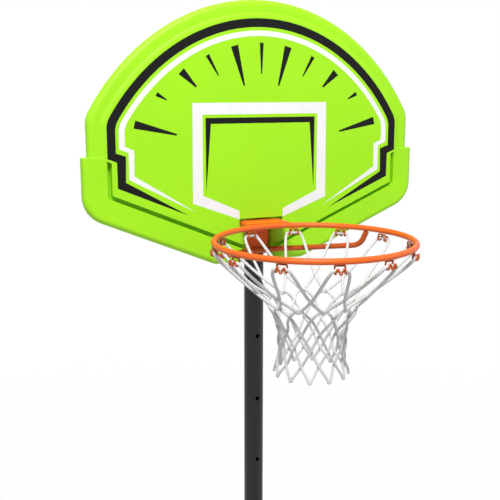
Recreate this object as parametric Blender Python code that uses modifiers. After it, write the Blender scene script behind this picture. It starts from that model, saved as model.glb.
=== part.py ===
"""Youth portable basketball stand: water-filled base, telescopic pole, backboard, rim and net.

Metres, +Z up, the rim on the -Y side. The origin is on the floor under the middle of the
whole stand. The rim is shown at seven feet, the fourth of its five heights.
"""

import math

import bmesh
import bpy
from mathutils import Matrix, Vector

# Fit between pieces
CLEARANCE = 0.0003
CUT_OVERRUN = 0.01

# Rim
RIM_HEIGHT = 2.134
RING_RADIUS = 0.197
ROD_RADIUS = 0.006
BOARD_TO_RING = 0.2504
BOARD_TO_POLE = 0.0411

# Telescopic pole
UPPER_POLE_RADIUS = 0.022225
UPPER_POLE_WALL = 0.0015
UPPER_POLE_ABOVE_RIM = 0.330
UPPER_POLE_BELOW_RIM = 1.030
LOWER_POLE_RADIUS = 0.0254
LOWER_POLE_WALL = 0.0016
HOLE_PITCH = 0.1524
HOLE_COUNT = 5
HOLE_RADIUS = 0.005
FIRST_HOLE_DROP = 0.269
REST_HOLE = 3
PIN_BELOW_POLE_TOP = 0.019
STRUT_BELOW_NECK = 0.040
BOTTOM_POLE_FOOT = 0.030
NECK_LENGTH = 0.080
NECK_TAPER = 0.008
TUBE_SIDES = 28

# Backboard
BOARD_THICKNESS = 0.025
BOARD_SET_BACK = 0.005
BOARD_HALF_WIDTH = 0.3833
WRAP_STEP = 0.0127
WRAP_TOP = 0.156
WRAP_CORNER = 0.062
BOARD_BOTTOM = -0.088
BOTTOM_SLOPE = 0.4243
BOTTOM_SLOPE_RISE = -0.1332
ARCH_OVERHANG = 0.0287
ARCH_HEIGHT = 0.4784
ARCH_CENTRE = -0.0378
BORDER_WIDTH = 0.0393
PANEL_LIP = 0.0015
PANEL_SLOPE = 0.011
GROOVE_WIDTH = 0.0085
WRAP_WIDTH = 0.0605
GROOVE_TOP = 0.1475
GROOVE_DEPTH = 0.009
GROOVE_RISE = -0.0654
NOTCH_HALF_WIDTH = 0.029
NOTCH_ROUNDING = 0.025
SLOT_HALF_WIDTH = 0.051
SLOT_TOP = 0.0115
SLOT_BOTTOM = -0.0055
SLOT_DEPTH = 0.006
POCKET_PITCH = 0.090
POCKET_RADIUS = 0.023
POCKET_DRAFT = 0.006
POCKET_DEPTH = 0.017
POCKET_MARGIN = 0.040

# Rim bracket
SHEET = 0.003
PLATE_HALF_WIDTH = 0.0495
PLATE_BEND = 0.007
PLATE_TOP = 0.0093
PLATE_LIP_BOTTOM = -0.004
PLATE_BACK = 0.004
PLATE_FRONT = -0.057
LIP_FRONT = -0.050
CHANNEL_HALF_WIDTH = 0.0256
CHANNEL_BOTTOM = -0.073
CHANNEL_BACK = 0.050
BRACE_DROP = 0.0635
BRACE_SEAT = 0.022
BRACE_SEAT_BEND = 0.010
BRACE_HALF_SPAN = 0.168
BRACE_SPLAY = 0.148
BRACE_CORNER_DROP = 0.0378
BRACE_BEND = 0.030
BRACE_END_ANGLE = 27.5
BRACE_TIP_GAP = 0.0029

# Net hooks
HOOK_COUNT = 12
HOOK_FIRST_ANGLE = 15.0
HOOK_WIRE = 0.0017
HOOK_HALF_WIDTH = 0.0095
HOOK_HEIGHT = 0.008
HOOK_REACH = 0.0092
HOOK_DIP = 0.0056
HOOK_INSET = 0.002
HOOK_TOP = -ROD_RADIUS - HOOK_WIRE - CLEARANCE

# Net
CORD_RADIUS = 0.0025
NET_GAP = 0.0006
NET_OUT = 0.0046
LOOP_POINTS = ((0.006, 0.0, 0.0), (0.0128, 0.0, 0.0), (0.0172, -0.0035, 0.0065))
CROSSING_BEND = (0.099, -0.1125, 0.20)
ROW_BEND = (0.0905, -0.1225, 0.24)
NET_ROWS = (
    (0.093, -0.118, 0.0),
    (0.083, -0.138, 0.5),
    (0.068, -0.172, 0.0),
    (0.0655, -0.204, 0.5),
    (0.0665, -0.236, 0.0),
    (0.075, -0.267, 0.5),
)
CROSSING_RADIUS = 0.124
CROSSING_DROP = 0.088

# Fasteners
BOLT_RADIUS = 0.004
BOLT_HEAD_RADIUS = 0.0072
BOLT_HEAD = 0.005
NUT_THICKNESS = 0.006
BOLT_TAIL = 0.003
RIM_BOLT_DROPS = (0.018, 0.050)
SCREW_RADIUS = 0.0025
SCREW_LENGTH = 0.014
SCREW_HEAD_RADIUS = 0.006
SCREW_HEAD = 0.004

# Board straps
STRAP_HEIGHTS = (0.265, 0.115)
STRAP_WIDTH = 0.030
STRAP_THICKNESS = 0.0025
STRAP_HALF_LENGTH = 0.060
STRAP_SCREW_OFFSET = 0.0465

# Pole fittings
COLLAR_RADIUS = 0.031
COLLAR_THICKNESS = 0.007
COLLAR_SKIRT = 0.008
LINER_LENGTH = 0.060
CAP_THICKNESS = 0.006
CAP_SPIGOT = 0.020
BUSH_FLANGE = 0.012
BUSH_SPIGOT = 0.025
BUSH_BORE = 0.012
PIN_RADIUS = 0.004
PIN_TRAVEL = 0.014
HOUSING_RADIUS = 0.010
HOUSING_FACE = 0.040
KNOB_RADIUS = 0.020
KNOB_LENGTH = 0.022
KNOB_LOBES = 5
KNOB_GAP = 0.003

# Base
BASE_BACK = 0.600
BASE_HALF_WIDTH = 0.255
BASE_FRONT_HALF_WIDTH = 0.190
BASE_LOWER_HEIGHT = 0.070
BASE_HEIGHT = 0.128
BASE_EDGE = 0.012
BASE_TOP_EDGE = 0.020
BASE_TIER_INSET = 0.030
NOSE_HALF_WIDTH = 0.076
NOSE_FRONT = 0.045
NOSE_HEIGHT = 0.112
WELL_BACK = 0.068
GROOVE_PLANS = (-0.100, 0.0, 0.100)
TOP_GROOVE_RADIUS = 0.012
LUG_OFFSET = 0.165
LUG_BEFORE_BACK = 0.085
LUG_LENGTH = 0.050
LUG_THICKNESS = 0.026
LUG_RISE = 0.036
LUG_BOLT_RISE = 0.020
FILLER_X = 0.140
FILLER_Y = 0.230
FILLER_BORE = 0.0195
FILLER_BORE_DEPTH = 0.060
FILLER_NECK_RADIUS = 0.028
FILLER_NECK_RISE = 0.010
FILLER_CAP_RADIUS = 0.030
FILLER_CAP_HEIGHT = 0.012
FILLER_PLUG_LENGTH = 0.018
FILLER_RIBS = 12
SEAL_THICKNESS = 0.002
SEAL_HALF_WIDTH = 0.003

# Wheels
WHEEL_RADIUS = 0.055
WHEEL_WIDTH = 0.030
WHEEL_LIFT = 0.003
WHEEL_GAP = 0.003
AXLE_RADIUS = 0.005
HUB_RADIUS = 0.014
WHEEL_SPOKES = 5
AXLE_CAP_RADIUS = 0.010
AXLE_CAP_LENGTH = 0.006
AXLE_END = 0.004

# Struts
STRUT_RADIUS = 0.0095
STRUT_TAB_THICKNESS = 0.003
STRUT_TAB_HALF_WIDTH = 0.013
STRUT_TAB_LENGTH = 0.030
STRUT_FLATTEN = 0.040
STRUT_POLE_HEIGHT = 0.500

# Places worked out from the sizes
FRONT_REACH = BOARD_TO_POLE + BOARD_TO_RING + RING_RADIUS + ROD_RADIUS
POLE_Y = (FRONT_REACH - BASE_BACK) / 2
BOARD_Y = POLE_Y - BOARD_TO_POLE
RING_Y = BOARD_Y - BOARD_TO_RING
PIN_HEIGHT = RIM_HEIGHT - FIRST_HOLE_DROP - REST_HOLE * HOLE_PITCH
MIDDLE_POLE_TOP = PIN_HEIGHT + PIN_BELOW_POLE_TOP
BOTTOM_POLE_TOP = STRUT_POLE_HEIGHT + STRUT_BELOW_NECK + NECK_LENGTH
LOWER_POLE_BORE = LOWER_POLE_RADIUS - LOWER_POLE_WALL
AXLE_HEIGHT = WHEEL_RADIUS + WHEEL_LIFT
LUG_Y = POLE_Y + BASE_BACK - LUG_BEFORE_BACK
LUG_BOLT_HEIGHT = BASE_HEIGHT + LUG_BOLT_RISE
BOARD_BACK = BOARD_SET_BACK + BOARD_THICKNESS
WRAP_HALF_WIDTH = BOARD_HALF_WIDTH + WRAP_STEP
ARCH_HALF_WIDTH = BOARD_HALF_WIDTH + ARCH_OVERHANG
STRIPE_HALF_WIDTH = BOARD_HALF_WIDTH - BORDER_WIDTH
GROOVE_INNER_HALF_WIDTH = WRAP_HALF_WIDTH - WRAP_WIDTH
KNOB_STANDOFF = PIN_TRAVEL + KNOB_GAP

# Finishes: colour, roughness, metallic
FINISHES = {
    "lime_plastic": ((0.41, 0.91, 0.03), 0.42, 0.0),
    "orange_paint": ((0.90, 0.17, 0.03), 0.35, 0.1),
    "black_paint": ((0.028, 0.028, 0.030), 0.45, 0.2),
    "black_plastic": ((0.03, 0.03, 0.032), 0.55, 0.0),
    "zinc": ((0.62, 0.63, 0.65), 0.35, 1.0),
    "white_cord": ((0.80, 0.80, 0.78), 0.85, 0.0),
    "rubber": ((0.02, 0.02, 0.02), 0.8, 0.0),
}


def clear_scene():
    """Remove what the opened file holds."""
    for old in list(bpy.data.objects):
        bpy.data.objects.remove(old, do_unlink=True)


def make_collection(name):
    """A new collection under the scene."""
    group = bpy.data.collections.new(name)
    bpy.context.scene.collection.children.link(group)
    return group


def make_material(name):
    """A Principled material for one finish."""
    colour, roughness, metallic = FINISHES[name]
    material = bpy.data.materials.new(name)
    material.use_nodes = True
    shader = material.node_tree.nodes["Principled BSDF"]
    shader.inputs["Base Color"].default_value = (*colour, 1.0)
    shader.inputs["Roughness"].default_value = roughness
    shader.inputs["Metallic"].default_value = metallic
    return material


clear_scene()
PARTS = make_collection("basketball_stand")
CUTTERS = make_collection("cutters")
MATERIALS = {name: make_material(name) for name in FINISHES}


def add_empty(name, place, parent=None):
    """An empty that carries pieces, on a joint's axis where they move."""
    empty = bpy.data.objects.new(name, None)
    empty.empty_display_size = 0.05
    empty.location = place
    empty.parent = parent
    PARTS.objects.link(empty)
    return empty


def add_part(name, mesh, finish, parent=None, place=(0, 0, 0), smooth=True):
    """Put a mesh in the part's collection with its finish."""
    part = bpy.data.objects.new(name, mesh)
    part.location = place
    part.parent = parent
    mesh.materials.clear()
    mesh.materials.append(MATERIALS[finish])
    if smooth:
        mesh.shade_smooth()
        mesh.set_sharp_from_angle(angle=math.radians(35))
    PARTS.objects.link(part)
    return part


def add_cutter(name, mesh, parent=None, place=(0, 0, 0)):
    """Put a mesh among the cutters."""
    cutter = bpy.data.objects.new(name, mesh)
    cutter.location = place
    cutter.parent = parent
    cutter.hide_render = True
    cutter.display_type = "WIRE"
    CUTTERS.objects.link(cutter)
    return cutter


def boolean(part, other, operation="DIFFERENCE"):
    """Cut or join with a live Boolean modifier."""
    modifier = part.modifiers.new(other.name, "BOOLEAN")
    modifier.operation = operation
    modifier.solver = "EXACT"
    modifier.object = other


def mesh_from(bm, name):
    """Turn a bmesh into a mesh with its faces pointing out."""
    bmesh.ops.recalc_face_normals(bm, faces=bm.faces)
    mesh = bpy.data.meshes.new(name)
    bm.to_mesh(mesh)
    bm.free()
    return mesh


def box_mesh(name, low, high):
    """A box between two corners."""
    bm = bmesh.new()
    bmesh.ops.create_cube(bm, size=1.0)
    low, high = Vector(low), Vector(high)
    size = high - low
    bmesh.ops.scale(bm, vec=size, verts=bm.verts)
    bmesh.ops.translate(bm, vec=(low + high) / 2, verts=bm.verts)
    return mesh_from(bm, name)


def rod_mesh(name, start, end, radius, sides=24, end_radius=None):
    """A round bar, or a cone, between two points."""
    start, end = Vector(start), Vector(end)
    bm = bmesh.new()
    bmesh.ops.create_cone(
        bm, cap_ends=True, segments=sides, radius1=radius,
        radius2=radius if end_radius is None else end_radius,
        depth=(end - start).length)
    turn = Vector((0, 0, 1)).rotation_difference(end - start)
    bmesh.ops.rotate(bm, cent=(0, 0, 0), matrix=turn.to_matrix(), verts=bm.verts)
    bmesh.ops.translate(bm, vec=(start + end) / 2, verts=bm.verts)
    return mesh_from(bm, name)


def turned_part(name, profile, finish, parent=None, place=(0, 0, 0), sides=TUBE_SIDES, closed=False):
    """A turned piece: a profile of (radius, height) that the Screw modifier spins about Z."""
    mesh = bpy.data.meshes.new(name)
    count = len(profile)
    edges = [(i, i + 1) for i in range(count - 1)]
    if closed:
        edges.append((count - 1, 0))
    mesh.from_pydata([(radius, 0, height) for radius, height in profile], edges, [])
    part = add_part(name, mesh, finish, parent, place, smooth=False)
    screw = part.modifiers.new("turn", "SCREW")
    screw.steps = sides
    screw.render_steps = sides
    screw.use_merge_vertices = True
    screw.merge_threshold = 0.00001
    screw.use_smooth_shade = True
    return part


def tube_part(name, radius, wall, low, high, finish, parent=None, place=(0, 0, 0)):
    """A plain round tube along Z."""
    profile = [(radius, high), (radius, low), (radius - wall, low), (radius - wall, high)]
    return turned_part(name, profile, finish, parent, place, closed=True)


def evaluated_mesh(source, name):
    """The mesh of an object as its modifiers or its curve make it."""
    bpy.context.view_layer.update()
    graph = bpy.context.evaluated_depsgraph_get()
    return bpy.data.meshes.new_from_object(source.evaluated_get(graph), depsgraph=graph)


def curve_mesh(name, curve):
    """The closed mesh of a curve, with its caps welded on."""
    holder = bpy.data.objects.new(name, curve)
    CUTTERS.objects.link(holder)
    mesh = evaluated_mesh(holder, name)
    bpy.data.objects.remove(holder, do_unlink=True)
    bm = bmesh.new()
    bm.from_mesh(mesh)
    bmesh.ops.remove_doubles(bm, verts=bm.verts, dist=0.00001)
    return mesh_from(bm, name)


def outline_mesh(name, points, thickness, rounding=0.0, steps=2):
    """A flat outline in XY, as thick as asked about Z = 0, its edges rounded inwards."""
    curve = bpy.data.curves.new(name, "CURVE")
    curve.dimensions = "2D"
    curve.fill_mode = "BOTH"
    curve.extrude = thickness / 2 - rounding
    curve.bevel_depth = rounding
    curve.bevel_resolution = steps
    curve.offset = -rounding
    spline = curve.splines.new("POLY")
    spline.points.add(len(points) - 1)
    for point, place in zip(spline.points, points):
        point.co = (place[0], place[1], 0.0, 1.0)
    spline.use_cyclic_u = True
    return curve_mesh(name, curve)


def stand_up(mesh, middle_y):
    """Turn an outline drawn in XY upright, so that its Y is up, with its middle at a given Y."""
    bm = bmesh.new()
    bm.from_mesh(mesh)
    for vert in bm.verts:
        vert.co = Vector((vert.co.x, middle_y - vert.co.z, vert.co.y))
    bm.to_mesh(mesh)
    bm.free()
    return mesh


def wire_mesh(name, points, radius, cyclic=False, resolution=1):
    """A round wire through points."""
    curve = bpy.data.curves.new(name, "CURVE")
    curve.dimensions = "3D"
    curve.bevel_depth = radius
    curve.bevel_resolution = resolution
    curve.use_fill_caps = not cyclic
    spline = curve.splines.new("POLY")
    spline.points.add(len(points) - 1)
    for point, place in zip(spline.points, points):
        point.co = (*place, 1.0)
    spline.use_cyclic_u = cyclic
    return curve_mesh(name, curve)


def rounded(corners, steps=4):
    """Points of a closed outline whose corners, each (x, y, radius), are rounded."""
    points = []
    count = len(corners)
    for index, (x, y, radius) in enumerate(corners):
        if radius == 0:
            points.append((x, y))
            continue
        here = Vector((x, y))
        before = Vector(corners[index - 1][:2]) - here
        after = Vector(corners[(index + 1) % count][:2]) - here
        half = before.angle(after) / 2
        reach = radius / math.tan(half)
        start = here + before.normalized() * reach
        end = here + after.normalized() * reach
        centre = here + (before.normalized() + after.normalized()).normalized() * radius / math.sin(half)
        first = start - centre
        sweep = first.angle_signed(end - centre)
        for step in range(steps + 1):
            turn = -sweep * step / steps
            cos, sin = math.cos(turn), math.sin(turn)
            points.append((centre.x + first.x * cos - first.y * sin,
                           centre.y + first.x * sin + first.y * cos))
    return points


def bent_path(corners, steps=6):
    """Points along a bent bar whose corners, each (x, y, z, radius), are rounded."""
    points = []
    for index, corner in enumerate(corners):
        here = Vector(corner[:3])
        radius = corner[3]
        if radius == 0:
            points.append(here)
            continue
        before = (Vector(corners[index - 1][:3]) - here).normalized()
        after = (Vector(corners[index + 1][:3]) - here).normalized()
        half = before.angle(after) / 2
        centre = here + (before + after).normalized() * radius / math.sin(half)
        start = here + before * radius / math.tan(half) - centre
        end = here + after * radius / math.tan(half) - centre
        turn = start.rotation_difference(end)
        axis, sweep = turn.to_axis_angle()
        for step in range(steps + 1):
            points.append(centre + Matrix.Rotation(sweep * step / steps, 3, axis) @ start)
    return points


def loft_mesh(name, rings):
    """A closed skin over rings with equal numbers of points."""
    bm = bmesh.new()
    loops = [[bm.verts.new(point) for point in ring] for ring in rings]
    count = len(rings[0])
    for first, second in zip(loops, loops[1:]):
        for i in range(count):
            j = (i + 1) % count
            bm.faces.new((first[i], first[j], second[j], second[i]))
    bm.faces.new(loops[0])
    bm.faces.new(loops[-1])
    return mesh_from(bm, name)


def join_meshes(name, meshes):
    """One mesh of several loose closed shapes, for a cutter."""
    bm = bmesh.new()
    for mesh in meshes:
        bm.from_mesh(mesh)
    joined = bpy.data.meshes.new(name)
    bm.to_mesh(joined)
    bm.free()
    return joined


# Backboard

def arch_points(grow, half_width, steps):
    """Points over the board's arch from right to left, where its side lies at half_width."""
    across = ARCH_HALF_WIDTH + grow
    high = ARCH_HEIGHT + grow
    start = math.acos(half_width / across)
    points = []
    for step in range(steps + 1):
        angle = start + (math.pi - 2 * start) * step / steps
        points.append((across * math.cos(angle), ARCH_CENTRE + high * math.sin(angle)))
    return points


def board_outline():
    """The board's outer edge, arch, stepped wrap and sloping lower edges."""
    arch = [(x, z, 0) for x, z in arch_points(BORDER_WIDTH, BOARD_HALF_WIDTH, 30)]
    flat_end = (BOARD_BOTTOM - BOTTOM_SLOPE_RISE) / BOTTOM_SLOPE
    corner_height = BOTTOM_SLOPE * WRAP_HALF_WIDTH + BOTTOM_SLOPE_RISE
    left = [
        (-BOARD_HALF_WIDTH, WRAP_TOP, 0.002),
        (-WRAP_HALF_WIDTH, WRAP_TOP, 0.004),
        (-WRAP_HALF_WIDTH, corner_height, WRAP_CORNER),
        (-flat_end, BOARD_BOTTOM, 0.020),
    ]
    right = [(-x, z, radius) for x, z, radius in reversed(left)]
    return rounded(arch + left + right, steps=4)


def panel_outline(grow):
    """The raised printed panel's edge, its upper part grown by the border's slope."""
    arch = [(x, z, 0) for x, z in arch_points(PANEL_LIP + grow, STRIPE_HALF_WIDTH + PANEL_LIP + grow, 28)]
    side = GROOVE_INNER_HALF_WIDTH
    shoulder = GROOVE_TOP - 0.004
    left = [
        (-STRIPE_HALF_WIDTH - PANEL_LIP - grow, GROOVE_TOP, 0),
        (-side, shoulder, 0),
        (-side, BOTTOM_SLOPE * side + GROOVE_RISE, 0),
        (-NOTCH_HALF_WIDTH, BOTTOM_SLOPE * NOTCH_HALF_WIDTH + GROOVE_RISE, 0),
    ]
    right = [(-x, z, radius) for x, z, radius in reversed(left)]
    return rounded(arch + left + right)


def groove_outline(side):
    """The moulded groove between the panel and the wrap, on one side."""
    inner = GROOVE_INNER_HALF_WIDTH
    outer = inner + GROOVE_WIDTH
    drop = GROOVE_WIDTH * math.sqrt(1 + BOTTOM_SLOPE ** 2) * 0.85
    centre_end = NOTCH_HALF_WIDTH - 0.004
    points = [
        (inner, GROOVE_TOP - 0.004),
        (inner, BOTTOM_SLOPE * inner + GROOVE_RISE),
        (centre_end, BOTTOM_SLOPE * centre_end + GROOVE_RISE),
        (centre_end, BOTTOM_SLOPE * centre_end + GROOVE_RISE - drop),
        (outer, BOTTOM_SLOPE * outer + GROOVE_RISE - drop),
        (outer, GROOVE_TOP),
    ]
    return [(side * x, z) for x, z in points]


def board_reaches(x, z, margin):
    """True where a point lies inside the board's edge by a margin."""
    across = ARCH_HALF_WIDTH + BORDER_WIDTH - margin
    high = ARCH_HEIGHT + BORDER_WIDTH - margin
    under_arch = (x / across) ** 2 + ((z - ARCH_CENTRE) / high) ** 2 < 1
    in_sides = abs(x) < BOARD_HALF_WIDTH - margin
    above_slope = z > BOTTOM_SLOPE * abs(x) + BOTTOM_SLOPE_RISE + margin * 1.1
    return under_arch and in_sides and above_slope and z > BOARD_BOTTOM + margin


def pocket_places():
    """Places of the moulded pockets in the board's back, in staggered rows."""
    clear_of_pole = STRAP_HALF_LENGTH + POCKET_RADIUS + 0.006
    places = []
    for row in range(-1, 7):
        height = row * POCKET_PITCH * math.sqrt(3) / 2 + 0.012
        offset = POCKET_PITCH / 2 if row % 2 else 0.0
        for column in range(6):
            across = clear_of_pole + offset + column * POCKET_PITCH
            if board_reaches(across, height, POCKET_MARGIN):
                places += [(across, height), (-across, height)]
    return places


def build_backboard(mast):
    """The blow-moulded board with its panel, groove, notch, pockets and pole channel."""
    middle = BOARD_SET_BACK + BOARD_THICKNESS / 2
    body = outline_mesh("backboard", board_outline(), BOARD_THICKNESS, BOARD_THICKNESS / 2 - 0.0001, 2)
    board = add_part("backboard", stand_up(body, middle), "lime_plastic", mast, (0, -BOARD_TO_POLE, 0))

    def cutter(name, mesh):
        return add_cutter(name, mesh, mast, (0, -BOARD_TO_POLE, 0))

    rings = []
    for y, grow in ((0.0, 0.0), (BOARD_SET_BACK, PANEL_SLOPE), (BOARD_SET_BACK + 0.004, PANEL_SLOPE)):
        rings.append([(x, y, z) for x, z in panel_outline(grow)])
    boolean(board, cutter("panel", loft_mesh("panel", rings)), "UNION")

    grooves = []
    for side in (-1, 1):
        points = groove_outline(side)
        groove = outline_mesh("groove", points, 2 * GROOVE_DEPTH)
        grooves.append(stand_up(groove, 0.0))
    boolean(board, cutter("grooves", join_meshes("grooves", grooves)))

    wall = []
    for step in range(5):
        angle = math.pi / 2 * step / 4
        wall.append((NOTCH_HALF_WIDTH + NOTCH_ROUNDING * (1 - math.sin(angle)),
                     BOARD_BACK * (1 - math.cos(angle))))
    wall = [(wall[0][0], -CUT_OVERRUN)] + wall + [(NOTCH_HALF_WIDTH, BOARD_BACK + CUT_OVERRUN)]
    plan = wall + [(-x, y) for x, y in reversed(wall)]
    low = BOARD_BOTTOM - CUT_OVERRUN
    notch = loft_mesh("notch", [[(x, y, z) for x, y in plan] for z in (low, SLOT_TOP)])
    boolean(board, cutter("notch", notch))
    slot = box_mesh("slot", (-SLOT_HALF_WIDTH, -CUT_OVERRUN, SLOT_BOTTOM),
                    (SLOT_HALF_WIDTH, SLOT_DEPTH, SLOT_TOP + 0.0001))
    boolean(board, cutter("slot", slot))

    channel = rod_mesh("pole_channel", (0, BOARD_TO_POLE, SLOT_TOP - CUT_OVERRUN),
                       (0, BOARD_TO_POLE, ARCH_HEIGHT + ARCH_CENTRE + BORDER_WIDTH + CUT_OVERRUN),
                       UPPER_POLE_RADIUS + CLEARANCE, TUBE_SIDES)
    boolean(board, cutter("pole_channel", channel))

    pockets = []
    for x, z in pocket_places():
        pockets.append(rod_mesh("pocket", (x, BOARD_BACK + 0.001, z), (x, BOARD_BACK - POCKET_DEPTH, z),
                                POCKET_RADIUS, 8, POCKET_RADIUS - POCKET_DRAFT))
    for height in STRAP_HEIGHTS:
        for side in (-1, 1):
            x = side * STRAP_SCREW_OFFSET
            pockets.append(rod_mesh("screw_hole", (x, BOARD_BACK + 0.001, height),
                                    (x, BOARD_BACK - SCREW_LENGTH - 0.001, height),
                                    SCREW_RADIUS + CLEARANCE, 10))
    boolean(board, cutter("pockets", join_meshes("pockets", pockets)))


def build_straps(mast):
    """Straps round the back of the pole, and the screws that hold them to the board."""
    inner = UPPER_POLE_RADIUS + CLEARANCE
    outer = inner + STRAP_THICKNESS
    tab_front = BOARD_BACK + CLEARANCE - BOARD_TO_POLE
    tab_back = tab_front + STRAP_THICKNESS
    arc = [math.pi * step / 14 for step in range(15)]
    inner_arc = [(inner * math.cos(angle), inner * math.sin(angle)) for angle in arc]
    outer_arc = [(outer * math.cos(angle), outer * math.sin(angle)) for angle in reversed(arc)]
    outline = (
        [(STRAP_HALF_LENGTH, tab_front), (inner, tab_front)] + inner_arc
        + [(-inner, tab_front), (-STRAP_HALF_LENGTH, tab_front), (-STRAP_HALF_LENGTH, tab_back),
           (-outer, tab_back)]
        + outer_arc + [(outer, tab_back), (STRAP_HALF_LENGTH, tab_back)])
    for number, (name, height) in enumerate(zip(("board_strap_upper", "board_strap_lower"), STRAP_HEIGHTS)):
        strap = add_part(name, outline_mesh(name, outline, STRAP_WIDTH), "black_paint", mast, (0, 0, height))
        holes = []
        for index, side in enumerate((-1, 1)):
            x = side * STRAP_SCREW_OFFSET
            holes.append(rod_mesh("strap_hole", (x, tab_front - 0.002, 0), (x, tab_back + 0.002, 0),
                                  SCREW_RADIUS + CLEARANCE, 12))
            build_screw(f"strap_screw_{2 * number + index + 1}", mast, (x, tab_back + CLEARANCE, height))
        boolean(strap, add_cutter(name + "_holes", join_meshes(name + "_holes", holes), mast, (0, 0, height)))


def build_screw(name, mast, place):
    """A hex washer head screw that points at the board."""
    profile = [(0, SCREW_HEAD), (SCREW_HEAD_RADIUS * 0.8, SCREW_HEAD), (SCREW_HEAD_RADIUS * 0.85, 0.001),
               (SCREW_HEAD_RADIUS, 0.001), (SCREW_HEAD_RADIUS, 0), (SCREW_RADIUS, 0),
               (SCREW_RADIUS, -SCREW_LENGTH + 0.002), (0, -SCREW_LENGTH)]
    screw = turned_part(name, profile, "zinc", mast, place, sides=8)
    screw.rotation_euler = (-math.pi / 2, 0, 0)


# Rim

def build_bracket(mast):
    """Folded top plate, tongue and channel round the pole, as one welded bracket."""
    outline = [
        (PLATE_HALF_WIDTH, PLATE_LIP_BOTTOM, 0), (PLATE_HALF_WIDTH, PLATE_TOP, PLATE_BEND),
        (-PLATE_HALF_WIDTH, PLATE_TOP, PLATE_BEND), (-PLATE_HALF_WIDTH, PLATE_LIP_BOTTOM, 0),
        (-PLATE_HALF_WIDTH + SHEET, PLATE_LIP_BOTTOM, 0),
        (-PLATE_HALF_WIDTH + SHEET, PLATE_TOP - SHEET, PLATE_BEND - SHEET),
        (PLATE_HALF_WIDTH - SHEET, PLATE_TOP - SHEET, PLATE_BEND - SHEET),
        (PLATE_HALF_WIDTH - SHEET, PLATE_LIP_BOTTOM, 0),
    ]
    web_back = BOARD_TO_POLE - UPPER_POLE_RADIUS - CLEARANCE - 0.0001
    web_front = web_back - SHEET
    tongue_back = web_back - 0.0004
    plate = outline_mesh("rim_bracket", rounded(outline), tongue_back - PLATE_FRONT)
    place = (0, -BOARD_TO_POLE, 0)
    upright = stand_up(plate, (PLATE_FRONT + tongue_back) / 2)
    bracket = add_part("rim_bracket", upright, "orange_paint", mast, place)
    trims = []
    for side in (-1, 1):
        far = side * (PLATE_HALF_WIDTH + CUT_OVERRUN)
        front_near = side * (PLATE_HALF_WIDTH - PLATE_BEND)
        back_near = side * (CHANNEL_HALF_WIDTH - SHEET)
        trims.append(box_mesh("lip_trim", (min(front_near, far), PLATE_FRONT - CUT_OVERRUN, -CUT_OVERRUN),
                              (max(front_near, far), LIP_FRONT, PLATE_TOP + CUT_OVERRUN)))
        trims.append(box_mesh("tongue_trim", (min(back_near, far), PLATE_BACK, -CUT_OVERRUN),
                              (max(back_near, far), web_back + CUT_OVERRUN, PLATE_TOP + CUT_OVERRUN)))
    boolean(bracket, add_cutter("plate_trims", join_meshes("plate_trims", trims), mast, place))
    half = CHANNEL_HALF_WIDTH
    plan = rounded([
        (half, CHANNEL_BACK, 0), (half, web_front, SHEET + 0.001), (-half, web_front, SHEET + 0.001),
        (-half, CHANNEL_BACK, 0), (-half + SHEET, CHANNEL_BACK, 0), (-half + SHEET, web_back, 0.001),
        (half - SHEET, web_back, 0.001), (half - SHEET, CHANNEL_BACK, 0)])
    channel_top = PLATE_TOP - SHEET / 2
    channel = loft_mesh("channel", [[(x, y, z) for x, y in plan] for z in (CHANNEL_BOTTOM, channel_top)])
    boolean(bracket, add_cutter("channel", channel, mast, place), "UNION")
    reach = half + CUT_OVERRUN
    holes = [rod_mesh("bracket_hole", (-reach, BOARD_TO_POLE, -drop), (reach, BOARD_TO_POLE, -drop),
                      BOLT_RADIUS + CLEARANCE, 16) for drop in RIM_BOLT_DROPS]
    boolean(bracket, add_cutter("bracket_holes", join_meshes("bracket_holes", holes), mast, place))
    return web_front


def build_ring(mast):
    """The round rod ring."""
    bpy.ops.mesh.primitive_torus_add(major_radius=RING_RADIUS, minor_radius=ROD_RADIUS,
                                     major_segments=56, minor_segments=8)
    ring = bpy.context.object
    mesh = ring.data
    bpy.data.objects.remove(ring, do_unlink=True)
    add_part("rim_ring", mesh, "orange_paint", mast, (0, -BOARD_TO_POLE - BOARD_TO_RING, 0))


def build_brace(mast, web_front):
    """The bent rod from the foot of the bracket, forward and then up to the ring's underside."""
    angle = math.radians(BRACE_END_ANGLE)
    end = (RING_RADIUS * math.cos(angle), -BOARD_TO_RING + RING_RADIUS * math.sin(angle),
           -ROD_RADIUS - BRACE_TIP_GAP, 0)
    seat = web_front - ROD_RADIUS - CLEARANCE
    side = bent_path([
        (0, seat, -BRACE_DROP, 0), (BRACE_SEAT, seat, -BRACE_DROP, BRACE_SEAT_BEND),
        (BRACE_HALF_SPAN, -BRACE_SPLAY, -BRACE_CORNER_DROP, BRACE_BEND), end])
    left = [Vector((-point.x, point.y, point.z)) for point in reversed(side[1:])]
    mesh = wire_mesh("brace_rod", left + side, ROD_RADIUS, resolution=2)
    add_part("brace_rod", mesh, "orange_paint", mast, (0, -BOARD_TO_POLE, 0))


def hook_angles():
    """Angles of the hooks round the ring, in radians."""
    step = 360.0 / HOOK_COUNT
    return [math.radians(HOOK_FIRST_ANGLE + index * step) for index in range(HOOK_COUNT)]


def hook_points():
    """The bent wire of one hook: across, outwards from the ring, up."""
    top = HOOK_TOP
    low = top - HOOK_HEIGHT
    half = HOOK_HALF_WIDTH
    reach = HOOK_REACH
    side = [
        (half - 0.002, 0.0, top), (half, 0.0, top - 0.002), (half, 0.0, low),
        (half, reach * 0.25, low - HOOK_DIP), (half, reach * 0.75, low - HOOK_DIP),
        (half - 0.001, reach, low - 0.0005), (half - 0.003, reach, low + 0.0005),
        (half * 0.15, reach, low - 0.007)]
    left = [(-x, out, z) for x, out, z in reversed(side)]
    return side + left


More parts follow.
